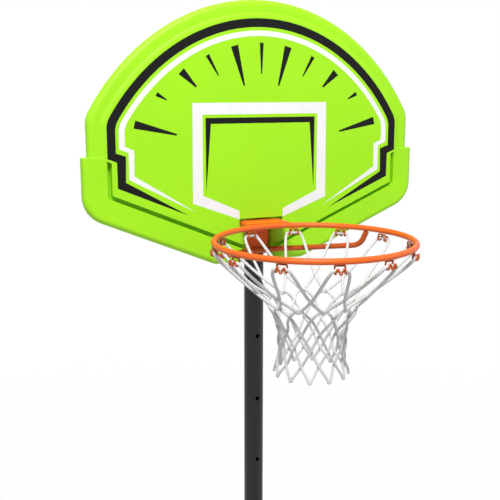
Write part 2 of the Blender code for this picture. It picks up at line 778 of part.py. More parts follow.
def build_hooks(mast):
    """Twelve wire hooks welded under the ring."""
    shape = wire_mesh("net_hook", hook_points(), HOOK_WIRE, cyclic=True, resolution=0)
    ring_y = -BOARD_TO_POLE - BOARD_TO_RING
    for number, angle in enumerate(hook_angles(), start=1):
        mesh = shape.copy()
        reach = RING_RADIUS - HOOK_INSET
        hook = add_part(f"net_hook_{number:02d}", mesh, "orange_paint", mast,
                        (reach * math.cos(angle), ring_y + reach * math.sin(angle), 0))
        hook.rotation_euler = (0, 0, angle - math.pi / 2)


def net_point(radius, drop, turns):
    """A point of the net: radius, height and place round it in hook spacings."""
    angle = math.radians(HOOK_FIRST_ANGLE + turns * 360.0 / HOOK_COUNT)
    return Vector((radius * math.cos(angle), radius * math.sin(angle), drop))


def hook_cord_point(index, across, out, drop):
    """A point of the net where it hangs in a hook."""
    angle = hook_angles()[index % HOOK_COUNT]
    reach = RING_RADIUS - HOOK_INSET + out
    return Vector((reach * math.cos(angle) - across * math.sin(angle),
                   reach * math.sin(angle) + across * math.cos(angle), drop))


def net_cells():
    """Points and cells of the net: loops in the hooks, crossings, and rows of diamonds."""
    points = []

    def add(place):
        points.append(place)
        return len(points) - 1

    each = range(HOOK_COUNT)
    rows = [[add(net_point(radius, drop, index + shift)) for index in each]
            for radius, drop, shift in NET_ROWS]
    crossings = [add(net_point(CROSSING_RADIUS, -CROSSING_DROP, index + 0.5)) for index in each]
    seat = HOOK_TOP - HOOK_HEIGHT - HOOK_DIP + HOOK_WIRE + NET_GAP + CORD_RADIUS
    loops = []
    bends = []
    curves = []
    for index in each:
        right = [add(hook_cord_point(index, across, NET_OUT + out, seat - fall))
                 for across, out, fall in LOOP_POINTS]
        left = [add(hook_cord_point(index, -across, NET_OUT + out, seat - fall))
                for across, out, fall in LOOP_POINTS]
        loops.append((right, left))
        bends.append([add(net_point(*CROSSING_BEND[:2], index + side * CROSSING_BEND[2]))
                      for side in (1, -1)])
        curves.append([add(net_point(*ROW_BEND[:2], index + side * ROW_BEND[2]))
                       for side in (1, -1)])
    cells = []
    for index in each:
        after = (index + 1) % HOOK_COUNT
        before = (index - 1) % HOOK_COUNT
        right, left = loops[index]
        cells.append(right + [crossings[index], bends[index][0], rows[0][index], bends[index][1],
                              crossings[before]] + left[::-1])
        cells.append([crossings[index], bends[after][1], rows[0][after], curves[after][1], rows[1][index],
                      curves[index][0], rows[0][index], bends[index][0]])
        cells.append([rows[0][index], curves[index][0], rows[1][index], rows[2][index], rows[1][before],
                      curves[index][1]])
        cells.append([rows[1][index], rows[2][after], rows[3][index], rows[2][index]])
        cells.append([rows[2][index], rows[3][index], rows[4][index], rows[3][before]])
        cells.append([rows[3][index], rows[4][after], rows[5][index], rows[4][index]])
    return points, cells


def build_net(mast):
    """The cord net: a wire frame of its cells."""
    points, cells = net_cells()
    mesh = bpy.data.meshes.new("net")
    mesh.from_pydata(points, [], cells)
    net = add_part("net", mesh, "white_cord", mast, (0, -BOARD_TO_POLE - BOARD_TO_RING, 0))
    cords = net.modifiers.new("cords", "WIREFRAME")
    cords.thickness = 2 * CORD_RADIUS
    cords.use_even_offset = True
    cords.use_boundary = True


# Pole

def build_upper_pole(mast):
    """The sliding pole with its row of holes, top cap and guide bush."""
    inner = UPPER_POLE_RADIUS - UPPER_POLE_WALL
    pole = tube_part("upper_pole", UPPER_POLE_RADIUS, UPPER_POLE_WALL, -UPPER_POLE_BELOW_RIM,
                     UPPER_POLE_ABOVE_RIM, "black_paint", mast)
    holes = []
    for index in range(HOLE_COUNT):
        height = -FIRST_HOLE_DROP - index * HOLE_PITCH
        holes.append(rod_mesh("hole", (0, -UPPER_POLE_RADIUS - CUT_OVERRUN, height), (0, 0, height),
                              HOLE_RADIUS, 12))
    for drop in RIM_BOLT_DROPS:
        holes.append(rod_mesh("cross_hole", (-UPPER_POLE_RADIUS - CUT_OVERRUN, 0, -drop),
                              (UPPER_POLE_RADIUS + CUT_OVERRUN, 0, -drop), BOLT_RADIUS + CLEARANCE, 12))
    boolean(pole, add_cutter("pole_holes", join_meshes("pole_holes", holes), mast))
    top = UPPER_POLE_ABOVE_RIM
    seat = top + CLEARANCE
    spigot = inner - CLEARANCE
    turned_part("pole_cap", [
        (0, seat + CAP_THICKNESS), (UPPER_POLE_RADIUS - 0.004, seat + CAP_THICKNESS),
        (UPPER_POLE_RADIUS, seat + CAP_THICKNESS - 0.004), (UPPER_POLE_RADIUS, seat), (spigot, seat),
        (spigot, top - CAP_SPIGOT), (spigot - 0.003, top - CAP_SPIGOT), (spigot - 0.003, seat), (0, seat)],
        "black_plastic", mast)
    bottom = -UPPER_POLE_BELOW_RIM
    seat = bottom - CLEARANCE
    turned_part("guide_bush", [
        (spigot - 0.001, bottom + BUSH_SPIGOT), (spigot, bottom + BUSH_SPIGOT - 0.002), (spigot, seat),
        (LOWER_POLE_BORE - CLEARANCE, seat), (LOWER_POLE_BORE - CLEARANCE, seat - BUSH_FLANGE + 0.002),
        (LOWER_POLE_BORE - CLEARANCE - 0.002, seat - BUSH_FLANGE), (BUSH_BORE, seat - BUSH_FLANGE),
        (BUSH_BORE, bottom + BUSH_SPIGOT)], "black_plastic", mast, closed=True)


def build_lower_poles(stand):
    """The bottom tube in the base, and the necked middle tube that stands on it."""
    bottom = tube_part("bottom_pole", LOWER_POLE_RADIUS, LOWER_POLE_WALL, BOTTOM_POLE_FOOT, BOTTOM_POLE_TOP,
                       "black_paint", stand)
    holes = []
    for height, radius in ((AXLE_HEIGHT, AXLE_RADIUS), (STRUT_POLE_HEIGHT, BOLT_RADIUS)):
        holes.append(rod_mesh("cross_hole", (-LOWER_POLE_RADIUS - CUT_OVERRUN, 0, height),
                              (LOWER_POLE_RADIUS + CUT_OVERRUN, 0, height), radius + CLEARANCE, 12))
    boolean(bottom, add_cutter("bottom_pole_holes", join_meshes("bottom_pole_holes", holes), stand))

    neck = LOWER_POLE_BORE - CLEARANCE
    foot = BOTTOM_POLE_TOP - NECK_LENGTH
    shoulder = BOTTOM_POLE_TOP + CLEARANCE
    top = MIDDLE_POLE_TOP
    bore = LOWER_POLE_BORE
    middle = turned_part("middle_pole", [
        (LOWER_POLE_RADIUS, top), (LOWER_POLE_RADIUS, shoulder + NECK_TAPER), (neck, shoulder), (neck, foot),
        (neck - LOWER_POLE_WALL, foot), (neck - LOWER_POLE_WALL, shoulder), (bore, shoulder + NECK_TAPER),
        (bore, top)], "black_paint", stand, closed=True)
    pin_hole = rod_mesh("pin_hole", (0, -HOUSING_FACE, PIN_HEIGHT), (0, 0, PIN_HEIGHT), HOLE_RADIUS, 16)
    boolean(middle, add_cutter("pin_hole", pin_hole, stand))

    seat = top + CLEARANCE
    liner = bore - CLEARANCE
    slide = UPPER_POLE_RADIUS + CLEARANCE
    collar = turned_part("pole_collar", [
        (slide + 0.002, seat + COLLAR_THICKNESS), (COLLAR_RADIUS - 0.003, seat + COLLAR_THICKNESS),
        (COLLAR_RADIUS, seat + COLLAR_THICKNESS - 0.003), (COLLAR_RADIUS, top - COLLAR_SKIRT),
        (LOWER_POLE_RADIUS + CLEARANCE, top - COLLAR_SKIRT), (LOWER_POLE_RADIUS + CLEARANCE, seat),
        (liner, seat),
        (liner, top - LINER_LENGTH), (slide, top - LINER_LENGTH), (slide, seat + COLLAR_THICKNESS - 0.002)],
        "black_plastic", stand, closed=True)
    boolean(collar, add_cutter("collar_hole", pin_hole.copy(), stand))


def build_height_pin(stand, lock):
    """The pin, its lobed knob, and the housing welded to the middle pole."""
    housing = rod_mesh("pin_housing", (0, -LOWER_POLE_RADIUS + 0.004, PIN_HEIGHT),
                       (0, -HOUSING_FACE, PIN_HEIGHT), HOUSING_RADIUS, 20)
    part = add_part("pin_housing", housing, "black_paint", stand)
    saddle = rod_mesh("saddle", (0, 0, PIN_HEIGHT - 0.05), (0, 0, PIN_HEIGHT + 0.05),
                      LOWER_POLE_RADIUS + CLEARANCE, TUBE_SIDES)
    boolean(part, add_cutter("saddle", saddle, stand))
    bore = rod_mesh("housing_bore", (0, 0, PIN_HEIGHT), (0, -HOUSING_FACE - CUT_OVERRUN, PIN_HEIGHT),
                    PIN_RADIUS + CLEARANCE, 20)
    boolean(part, add_cutter("housing_bore", bore, stand))

    tip = -UPPER_POLE_RADIUS - 0.0005
    knob_face = -HOUSING_FACE - KNOB_STANDOFF
    knob_end = knob_face - KNOB_LENGTH
    blind = knob_end + 0.006
    pin = turned_part("height_pin", [
        (0, -tip), (PIN_RADIUS * 0.7, -tip), (PIN_RADIUS, -tip + 0.0015), (PIN_RADIUS, -blind - CLEARANCE),
        (0, -blind - CLEARANCE)][::-1], "zinc", lock, sides=16)
    pin.rotation_euler = (math.pi / 2, 0, 0)

    outline = []
    for step in range(KNOB_LOBES * 6):
        angle = 2 * math.pi * step / (KNOB_LOBES * 6)
        radius = KNOB_RADIUS * (0.90 + 0.10 * math.cos(KNOB_LOBES * angle))
        outline.append((radius * math.cos(angle), radius * math.sin(angle)))
    knob = add_part("pin_knob", stand_up(outline_mesh("pin_knob", outline, KNOB_LENGTH, 0.003, 1),
                                         (knob_face + knob_end) / 2), "black_plastic", lock)
    blind_bore = rod_mesh("knob_bore", (0, knob_face + CUT_OVERRUN, 0), (0, blind, 0),
                          PIN_RADIUS + CLEARANCE, 16)
    boolean(knob, add_cutter("knob_bore", blind_bore, lock))


# Fasteners

def head_ring(x):
    """Twelve points round a hex bolt's head: its corners and the middles of its flats."""
    ring = []
    for step in range(12):
        angle = math.pi * step / 6
        radius = BOLT_HEAD_RADIUS * (1.0 if step % 2 == 0 else math.cos(math.pi / 6))
        ring.append((x, radius * math.cos(angle), radius * math.sin(angle)))
    return ring


def shank_ring(x):
    """Twelve points round a bolt's shank, in line with those of its head."""
    angles = [math.pi * step / 6 for step in range(12)]
    return [(x, BOLT_RADIUS * math.cos(angle), BOLT_RADIUS * math.sin(angle)) for angle in angles]


def build_bolt(name, parent, start, length, side=-1):
    """A hex bolt along X with its head on one side."""
    mesh = loft_mesh(name, [head_ring(-BOLT_HEAD), head_ring(0.0), shank_ring(0.0), shank_ring(length)])
    bolt = add_part(name, mesh, "zinc", parent, start)
    if side > 0:
        bolt.rotation_euler = (0, 0, math.pi)


def build_nut(name, parent, place, side=1):
    """A hex nut on an X bolt; side says which way its thickness goes."""
    nut = add_part(name, rod_mesh(name, (0, 0, 0), (side * NUT_THICKNESS, 0, 0), BOLT_HEAD_RADIUS, 6),
                   "zinc", parent, place, smooth=False)
    bore = rod_mesh(name + "_bore", (-0.01, 0, 0), (0.01, 0, 0), BOLT_RADIUS + CLEARANCE, 10)
    boolean(nut, add_cutter(name + "_bore", bore, parent, place))


def build_rim_bolts(mast):
    """Two cross bolts through the bracket and the pole."""
    half = CHANNEL_HALF_WIDTH + CLEARANCE
    for name, drop in zip(("upper", "lower"), RIM_BOLT_DROPS):
        length = 2 * half + NUT_THICKNESS + BOLT_TAIL
        build_bolt(f"rim_bolt_{name}", mast, (-half, 0, -drop), length)
        build_nut(f"rim_nut_{name}", mast, (half, 0, -drop))


# Base

def base_outline(inset):
    """The tank's plan, wider at the back, inset for its upper tier."""
    front = POLE_Y + WELL_BACK + inset
    back = POLE_Y + BASE_BACK - inset
    narrow = BASE_FRONT_HALF_WIDTH - inset
    wide = BASE_HALF_WIDTH - inset
    middle = front + (back - front) * 0.35
    half = [(narrow, front, 0.050), (wide, middle, 0.120), (wide, back, 0.110)]
    return rounded(half + [(-x, y, radius) for x, y, radius in reversed(half)], steps=4)


def lug_side():
    """The inner face of a lug, where a strut's tab lies."""
    return LUG_OFFSET - LUG_THICKNESS / 2


def build_tank():
    """The blow-moulded tank: two tiers, a nose between the wheels, lugs, grooves and filler neck."""
    def lifted(mesh, height):
        for vert in mesh.vertices:
            vert.co.z += height
        return mesh

    lower = outline_mesh("base_tank", base_outline(0.0), BASE_LOWER_HEIGHT, BASE_EDGE, 2)
    tank = add_part("base_tank", lifted(lower, BASE_LOWER_HEIGHT / 2), "black_plastic")
    foot = BASE_EDGE * 2
    tier_height = BASE_HEIGHT - foot
    upper = outline_mesh("tier", base_outline(BASE_TIER_INSET), tier_height, BASE_TOP_EDGE, 2)
    boolean(tank, add_cutter("tier", lifted(upper, foot + tier_height / 2)), "UNION")
    nose_plan = rounded([
        (NOSE_HALF_WIDTH, POLE_Y - NOSE_FRONT, 0.030), (NOSE_HALF_WIDTH, POLE_Y + WELL_BACK + 0.060, 0),
        (-NOSE_HALF_WIDTH, POLE_Y + WELL_BACK + 0.060, 0), (-NOSE_HALF_WIDTH, POLE_Y - NOSE_FRONT, 0.030)],
        steps=5)
    nose = outline_mesh("nose", nose_plan, NOSE_HEIGHT, BASE_EDGE, 2)
    boolean(tank, add_cutter("nose", lifted(nose, NOSE_HEIGHT / 2)), "UNION")

    for name, side in (("left", -1), ("right", 1)):
        front, back = LUG_Y - LUG_LENGTH / 2, LUG_Y + LUG_LENGTH / 2
        root, crest = BASE_HEIGHT - 0.020, BASE_HEIGHT + LUG_RISE
        face = [(front, root, 0), (front, crest, 0.020), (back, crest, 0.020), (back, root, 0)]
        near = side * (LUG_OFFSET - LUG_THICKNESS / 2)
        far = side * (LUG_OFFSET + LUG_THICKNESS / 2)
        lug = loft_mesh("lug", [[(x, y, z) for y, z in rounded(face)] for x in (near, far)])
        boolean(tank, add_cutter(f"lug_{name}", lug), "UNION")

    neck_top = BASE_HEIGHT + FILLER_NECK_RISE
    neck = rod_mesh("filler_neck", (FILLER_X, FILLER_Y, BASE_HEIGHT - 0.010), (FILLER_X, FILLER_Y, neck_top),
                    FILLER_NECK_RADIUS, 28)
    boolean(tank, add_cutter("filler_neck", neck), "UNION")

    cuts = [rod_mesh("pole_socket", (0, POLE_Y, BOTTOM_POLE_FOOT - CLEARANCE),
                     (0, POLE_Y, BASE_HEIGHT + 0.05), LOWER_POLE_RADIUS + CLEARANCE, TUBE_SIDES),
            rod_mesh("filler_bore", (FILLER_X, FILLER_Y, neck_top - FILLER_BORE_DEPTH),
                     (FILLER_X, FILLER_Y, neck_top + 0.01), FILLER_BORE, 28)]
    boolean(tank, add_cutter("tank_bores", join_meshes("tank_bores", cuts)))
    axle_hole = rod_mesh("axle_hole", (-NOSE_HALF_WIDTH - 0.02, POLE_Y, AXLE_HEIGHT),
                         (NOSE_HALF_WIDTH + 0.02, POLE_Y, AXLE_HEIGHT), AXLE_RADIUS + CLEARANCE, 16)
    boolean(tank, add_cutter("axle_hole", axle_hole))
    lug_holes = []
    for side in (-1, 1):
        lug_holes.append(rod_mesh("lug_hole", (side * (lug_side() - 0.01), LUG_Y, LUG_BOLT_HEIGHT),
                                  (side * (lug_side() + LUG_THICKNESS + 0.01), LUG_Y, LUG_BOLT_HEIGHT),
                                  BOLT_RADIUS + CLEARANCE, 16))
    boolean(tank, add_cutter("lug_holes", join_meshes("lug_holes", lug_holes)))

    grooves = []
    front = POLE_Y + WELL_BACK + BASE_TIER_INSET + 0.075
    back = POLE_Y + BASE_BACK - BASE_TIER_INSET - 0.050
    for x in GROOVE_PLANS:
        high = BASE_HEIGHT + TOP_GROOVE_RADIUS * 0.35
        end = back if x == 0 else LUG_Y - LUG_LENGTH
        ends = [(x, front, high), (x, end, high)]
        grooves.append(rod_mesh("top_groove", ends[0], ends[1], TOP_GROOVE_RADIUS, 16))
    boolean(tank, add_cutter("top_grooves", join_meshes("top_grooves", grooves)))


def build_filler(cap_turn):
    """The screw cap with its grip ribs, and its rubber seal."""
    seal_low = BASE_HEIGHT + FILLER_NECK_RISE + CLEARANCE
    cap_low = seal_low + SEAL_THICKNESS + CLEARANCE
    plug = FILLER_BORE - CLEARANCE
    outline = []
    for step in range(FILLER_RIBS * 4):
        angle = 2 * math.pi * step / (FILLER_RIBS * 4)
        radius = FILLER_CAP_RADIUS - (0.0012 if step % 4 < 2 else 0.0)
        outline.append((radius * math.cos(angle), radius * math.sin(angle)))
    disc = outline_mesh("filler_cap", outline, FILLER_CAP_HEIGHT)
    for vert in disc.vertices:
        vert.co.z += cap_low + FILLER_CAP_HEIGHT / 2
    cap = add_part("filler_cap", disc, "black_plastic", cap_turn, smooth=False)
    stem = rod_mesh("filler_plug", (0, 0, cap_low + 0.002), (0, 0, seal_low - FILLER_PLUG_LENGTH), plug, 28)
    boolean(cap, add_cutter("filler_plug", stem, cap_turn), "UNION")
    inner = FILLER_BORE
    outer = inner + 2 * SEAL_HALF_WIDTH
    top = seal_low + SEAL_THICKNESS
    turned_part("filler_seal", [(outer, top), (outer, seal_low), (inner, seal_low), (inner, top)], "rubber",
                None, (FILLER_X, FILLER_Y, 0), sides=28, closed=True)


# Wheels

def build_axle():
    """The axle and the press-on caps that keep the wheels on it."""
    half = NOSE_HALF_WIDTH + WHEEL_GAP + WHEEL_WIDTH + WHEEL_GAP + AXLE_END
    add_part("wheel_axle", rod_mesh("wheel_axle", (-half, 0, 0), (half, 0, 0), AXLE_RADIUS, 16), "zinc",
             None, (0, POLE_Y, AXLE_HEIGHT))
    for name, side in (("left", -1), ("right", 1)):
        inside = half - AXLE_END
        outside = inside + AXLE_CAP_LENGTH
        rings = [(0, outside), (AXLE_CAP_RADIUS * 0.6, outside), (AXLE_CAP_RADIUS, inside + 0.002),
                 (AXLE_CAP_RADIUS, inside), (AXLE_RADIUS + CLEARANCE, inside),
                 (AXLE_RADIUS + CLEARANCE, half + CLEARANCE), (0, half + CLEARANCE)]
        cap = turned_part(f"axle_cap_{name}", rings, "black_plastic", None, (0, POLE_Y, AXLE_HEIGHT),
                          sides=16)
        cap.rotation_euler = (0, side * math.pi / 2, 0)


def build_wheel(name, carrier):
    """A moulded wheel: crowned tread, web with windows, and hub."""
    half = WHEEL_WIDTH / 2
    bore = AXLE_RADIUS + CLEARANCE
    rim_inner = WHEEL_RADIUS - 0.012
    web = 0.004
    profile = [
        (HUB_RADIUS, half), (HUB_RADIUS, web), (rim_inner, web), (rim_inner, half - 0.001),
        (WHEEL_RADIUS - 0.003, half - 0.001), (WHEEL_RADIUS, half - 0.006),
        (WHEEL_RADIUS, -half + 0.006), (WHEEL_RADIUS - 0.003, -half + 0.001),
        (rim_inner, -half + 0.001), (rim_inner, -web), (HUB_RADIUS, -web), (HUB_RADIUS, -half),
        (bore, -half), (bore, half)]
    wheel = turned_part(name, profile, "black_plastic", carrier, sides=24, closed=True)
    wheel.rotation_euler = (0, math.pi / 2, 0)
    middle = (HUB_RADIUS + rim_inner) / 2
    radius = (rim_inner - HUB_RADIUS) / 2 - 0.004
    windows = []
    for step in range(WHEEL_SPOKES):
        angle = 2 * math.pi * (step + 0.5) / WHEEL_SPOKES
        y, z = middle * math.cos(angle), middle * math.sin(angle)
        windows.append(rod_mesh("window", (-half, y, z), (half, y, z), radius, 8))
    boolean(wheel, add_cutter(f"{name}_windows", join_meshes("windows", windows), carrier))


# Struts

def build_strut(name, side):
    """A round tube strut with both ends pressed flat for their bolts."""
    pole_side = LOWER_POLE_RADIUS + CLEARANCE + STRUT_TAB_THICKNESS / 2
    start = Vector((side * pole_side, POLE_Y, STRUT_POLE_HEIGHT))
    end = Vector((side * (lug_side() - CLEARANCE - STRUT_TAB_THICKNESS / 2), LUG_Y, LUG_BOLT_HEIGHT))
    line = (end - start).normalized()
    plane = Vector((0, line.y, line.z)).normalized()
    across = Vector((0, -plane.z, plane.y))
    count = 16

    def flat(centre, reach, shrink=1.0):
        middle = centre + plane * reach
        ring = []
        for step in range(count):
            angle = 2 * math.pi * step / count
            wide = max(-1, min(1, 1.25 * math.cos(angle))) * STRUT_TAB_HALF_WIDTH * shrink
            thin = max(-1, min(1, 1.9 * math.sin(angle))) * STRUT_TAB_THICKNESS / 2
            ring.append(middle + across * wide + Vector((thin, 0, 0)))
        return ring

    def round_ring(centre):
        flank = (Vector((1, 0, 0)) - line * line.x).normalized()
        ring = []
        for step in range(count):
            angle = 2 * math.pi * step / count
            ring.append(centre + across * STRUT_RADIUS * math.cos(angle)
                        + flank * STRUT_RADIUS * math.sin(angle))
        return ring

    tab = STRUT_TAB_LENGTH / 2
    aside = Vector((side * (STRUT_RADIUS - STRUT_TAB_THICKNESS / 2), 0, 0))
    neck_start = start + plane * (tab + STRUT_FLATTEN) + aside
    neck_end = end - plane * (tab + STRUT_FLATTEN) - aside
    rings = [flat(start, -tab, 0.55), flat(start, -tab * 0.6), flat(start, tab), round_ring(neck_start),
             round_ring(neck_end), flat(end, -tab), flat(end, tab * 0.6), flat(end, tab, 0.55)]
    strut = add_part(name, loft_mesh(name, rings), "black_paint")
    holes = [rod_mesh("tab_hole", centre - Vector((0.01, 0, 0)), centre + Vector((0.01, 0, 0)),
                      BOLT_RADIUS + CLEARANCE, 16) for centre in (start, end)]
    boolean(strut, add_cutter(f"{name}_holes", join_meshes("tab_holes", holes)))


def build_strut_bolts():
    """The bolt through the pole and both struts, and one bolt at each lug."""
    half = LOWER_POLE_RADIUS + 2 * CLEARANCE + STRUT_TAB_THICKNESS
    length = 2 * half + NUT_THICKNESS + BOLT_TAIL
    build_bolt("strut_pole_bolt", None, (-half, POLE_Y, STRUT_POLE_HEIGHT), length)
    build_nut("strut_pole_nut", None, (half, POLE_Y, STRUT_POLE_HEIGHT))
    inner = lug_side() - 2 * CLEARANCE - STRUT_TAB_THICKNESS
    outer = lug_side() + LUG_THICKNESS + CLEARANCE
    length = outer - inner + NUT_THICKNESS + BOLT_TAIL
    for name, side in (("left", -1), ("right", 1)):
        build_bolt(f"strut_bolt_{name}", None, (side * inner, LUG_Y, LUG_BOLT_HEIGHT), length, side=-side)
        build_nut(f"strut_nut_{name}", None, (side * outer, LUG_Y, LUG_BOLT_HEIGHT), side)


def build_all():
    """Build the stand from the base up."""
    stand = add_empty("pole_axis", (0, POLE_Y, 0))
    mast = add_empty("mast_slide", (0, POLE_Y, RIM_HEIGHT))
    lock = add_empty("pin_slide", (0, POLE_Y, PIN_HEIGHT))
    cap_turn = add_empty("cap_turn", (FILLER_X, FILLER_Y, 0))
    build_tank()
    build_filler(cap_turn)
    build_axle()
    for name, side in (("wheel_left", -1), ("wheel_right", 1)):
        middle = side * (NOSE_HALF_WIDTH + WHEEL_GAP + WHEEL_WIDTH / 2)
        build_wheel(name, add_empty(f"{name}_axis", (middle, POLE_Y, AXLE_HEIGHT)))
    build_strut("strut_left", -1)
    build_strut("strut_right", 1)
    build_strut_bolts()
    build_lower_poles(stand)
    build_height_pin(stand, lock)
    build_upper_pole(mast)
    build_backboard(mast)
    build_straps(mast)
    web_front = build_bracket(mast)
    build_rim_bolts(mast)
    build_ring(mast)
    build_brace(mast, web_front)
    build_hooks(mast)
    build_net(mast)


build_all()
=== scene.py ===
"""Youth portable basketball stand: moulded board, rim and cord net on a telescopic pole and tank.

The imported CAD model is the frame. Each sub-assembly below is a class that models its own
pieces around it, in metres, and dresses them in its finishes.
"""

import logging
import math
from dataclasses import dataclass
from enum import Enum
from typing import Optional, Sequence

import bpy
from mathutils import Matrix, Vector


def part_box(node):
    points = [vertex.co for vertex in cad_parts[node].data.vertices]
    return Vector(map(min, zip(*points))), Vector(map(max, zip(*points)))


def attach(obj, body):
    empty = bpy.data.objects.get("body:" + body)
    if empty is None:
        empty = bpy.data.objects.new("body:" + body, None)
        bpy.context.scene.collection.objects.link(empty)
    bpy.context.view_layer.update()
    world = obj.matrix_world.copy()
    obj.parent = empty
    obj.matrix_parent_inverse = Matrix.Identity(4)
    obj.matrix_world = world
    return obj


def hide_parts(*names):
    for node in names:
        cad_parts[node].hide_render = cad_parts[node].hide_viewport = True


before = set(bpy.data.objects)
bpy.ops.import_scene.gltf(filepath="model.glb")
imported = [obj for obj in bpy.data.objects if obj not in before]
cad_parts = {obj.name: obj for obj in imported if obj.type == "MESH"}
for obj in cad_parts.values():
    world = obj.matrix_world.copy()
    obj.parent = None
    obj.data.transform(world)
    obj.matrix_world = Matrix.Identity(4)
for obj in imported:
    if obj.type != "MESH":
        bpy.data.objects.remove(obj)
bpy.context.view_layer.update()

log = logging.getLogger("basketball_stand")

Flat = tuple[float, float]
Place = tuple[float, float, float]
Colour = tuple[float, float, float]
Piece = bpy.types.Object
Socket = bpy.types.NodeSocket

MAST = "mast"
STAND = "stand"
LOCK_PIN = "lock_pin"

# Sizes that several sub-assemblies share, in metres and degrees
CLEARANCE = 0.0003
BOARD_TO_POLE = 0.0411
OUTER_POLE = 0.0254
BOLT_RADIUS = 0.004
BOLT_HOLE = 0.0043
RIM_BOLT_DROPS = (0.018, 0.050)
AXLE_RADIUS = 0.005
AXLE_HEIGHT = 0.058
STRUT_HEIGHT = 0.500
HOOK_COUNT = 12
HOOK_FIRST_ANGLE = 15.0


# Modelling

class Facing(Enum):
    """Which way the thickness or the axis of a piece runs."""

    UP = Matrix.Identity(4)
    FRONT = Matrix.Rotation(math.pi / 2, 4, "X")
    SIDE = Matrix(((0, 0, 1, 0), (1, 0, 0, 0), (0, 1, 0, 0), (0, 0, 0, 1)))


class Join(Enum):
    """How one shape acts on another."""

    CUT = "DIFFERENCE"
    WELD = "UNION"


def middle_of(low: Sequence[float], high: Sequence[float]) -> Place:
    """The middle of a box between two corners."""
    return tuple((a + b) / 2 for a, b in zip(low, high))


def arc(centre: Flat, reach: Flat, start: float, end: float, steps: int) -> list[Flat]:
    """Points on an ellipse from one angle to another.

    Args:
        centre: the ellipse's middle.
        reach: its two half axes.
        start: first angle in radians.
        end: last angle in radians.
        steps: number of steps between them.

    Returns:
        The points, both ends included.
    """
    angles = [start + (end - start) * step / steps for step in range(steps + 1)]
    return [(centre[0] + reach[0] * math.cos(angle), centre[1] + reach[1] * math.sin(angle))
            for angle in angles]


def flipped(points: Sequence[Sequence[float]]) -> list[tuple]:
    """The same points on the other side, in reverse order."""
    return [(-point[0], *point[1:]) for point in reversed(points)]


def mirrored(half: Sequence[tuple]) -> list[tuple]:
    """A symmetric run of points from its right half."""
    return list(half) + flipped(half)


def folded(outer: Sequence[tuple], inner: Sequence[tuple]) -> list[tuple]:
    """A symmetric band from the right halves of its outer and its inner edge."""
    return mirrored(outer) + flipped(inner) + list(inner)


def rounded(corners: Sequence[tuple[float, float, float]], steps: int = 8) -> list[Flat]:
    """Points of a closed outline with rounded corners.

    Args:
        corners: each corner's two coordinates and its radius.
        steps: steps round each corner.

    Returns:
        The outline's points in the same order.
    """
    points: list[Flat] = []
    for index, (x, y, radius) in enumerate(corners):
        if radius == 0:
            points.append((x, y))
            continue
        here = Vector((x, y))
        before = (Vector(corners[index - 1][:2]) - here).normalized()
        after = (Vector(corners[(index + 1) % len(corners)][:2]) - here).normalized()
        half = before.angle(after) / 2
        centre = here + (before + after).normalized() * radius / math.sin(half)
        first = here + before * radius / math.tan(half) - centre
        last = here + after * radius / math.tan(half) - centre
        sweep = -first.angle_signed(last)
        for step in range(steps + 1):
            turn = sweep * step / steps
            cos, sin = math.cos(turn), math.sin(turn)
            points.append((centre.x + first.x * cos - first.y * sin,
                           centre.y + first.x * sin + first.y * cos))
    return points


def tube_stations(outer: float, inner: float, low: float, high: float, edge: float) -> list[Flat]:
    """Stations of a tube whose four rims are chamfered."""
    return [(outer, low + edge), (outer - edge, low), (inner + edge, low), (inner, low + edge),
            (inner, high - edge), (inner + edge, high), (outer - edge, high), (outer, high - edge)]


def shouldered(arch: Sequence[Flat], radius: float) -> list[tuple[float, float, float]]:
    """Corners over an arch whose two ends run into upright sides in a rounding."""
    clear = radius * 0.3
    crown = [(x, z, 0.0) for x, z in arch
             if min(math.dist((x, z), arch[0]), math.dist((x, z), arch[-1])) > clear]
    return [(*arch[0], radius)] + crown + [(*arch[-1], radius)]


def bent(corners: Sequence[tuple[float, float, float, float]], steps: int = 8) -> list[Vector]:
    """Points along an open bar with rounded corners.

    Args:
        corners: each corner's three coordinates and its bend radius.
        steps: steps round each bend.

    Returns:
        The bar's points in the same order.
    """
    points: list[Vector] = []
    for index, corner in enumerate(corners):
        here = Vector(corner[:3])
        radius = corner[3]
        if radius == 0:
            points.append(here)
            continue
        before = (Vector(corners[index - 1][:3]) - here).normalized()
        after = (Vector(corners[index + 1][:3]) - here).normalized()
        half = before.angle(after) / 2
        centre = here + (before + after).normalized() * radius / math.sin(half)
        first = here + before * radius / math.tan(half) - centre
        last = here + after * radius / math.tan(half) - centre
        axis, sweep = first.rotation_difference(last).to_axis_angle()
        points += [centre + Matrix.Rotation(sweep * step / steps, 3, axis) @ first
                   for step in range(steps + 1)]
    return points


def pick(*pieces: Piece) -> None:
    """Select these pieces alone and make the first one active."""
    bpy.ops.object.select_all(action="DESELECT")
    for piece in pieces:
        piece.select_set(True)
    bpy.context.view_layer.objects.active = pieces[0]


def taken(name: str) -> Piece:
    """The piece that the last step made, under a name."""
    piece = bpy.context.view_layer.objects.active
    piece.name = name
    return piece


def settle(piece: Piece, matrix: Optional[Matrix] = None) -> Piece:
    """Put a piece's place into its mesh, after a move if one is given.

    Args:
        piece: the piece to settle.
        matrix: a move in the world, or None.

    Returns:
        The same piece, its object at the origin.
    """
    if matrix is not None:
        piece.matrix_world = matrix @ piece.matrix_world
    pick(piece)
    bpy.ops.object.transform_apply(location=True, rotation=True, scale=True)
    return piece


def weld_points(piece: Piece, distance: float = 0.00001) -> None:
    """Merge doubled points and turn all faces outwards."""
    pick(piece)
    bpy.ops.object.mode_set(mode="EDIT")
    bpy.ops.mesh.select_all(action="SELECT")
    bpy.ops.mesh.remove_doubles(threshold=distance)
    bpy.ops.mesh.normals_make_consistent(inside=False)
    bpy.ops.object.mode_set(mode="OBJECT")


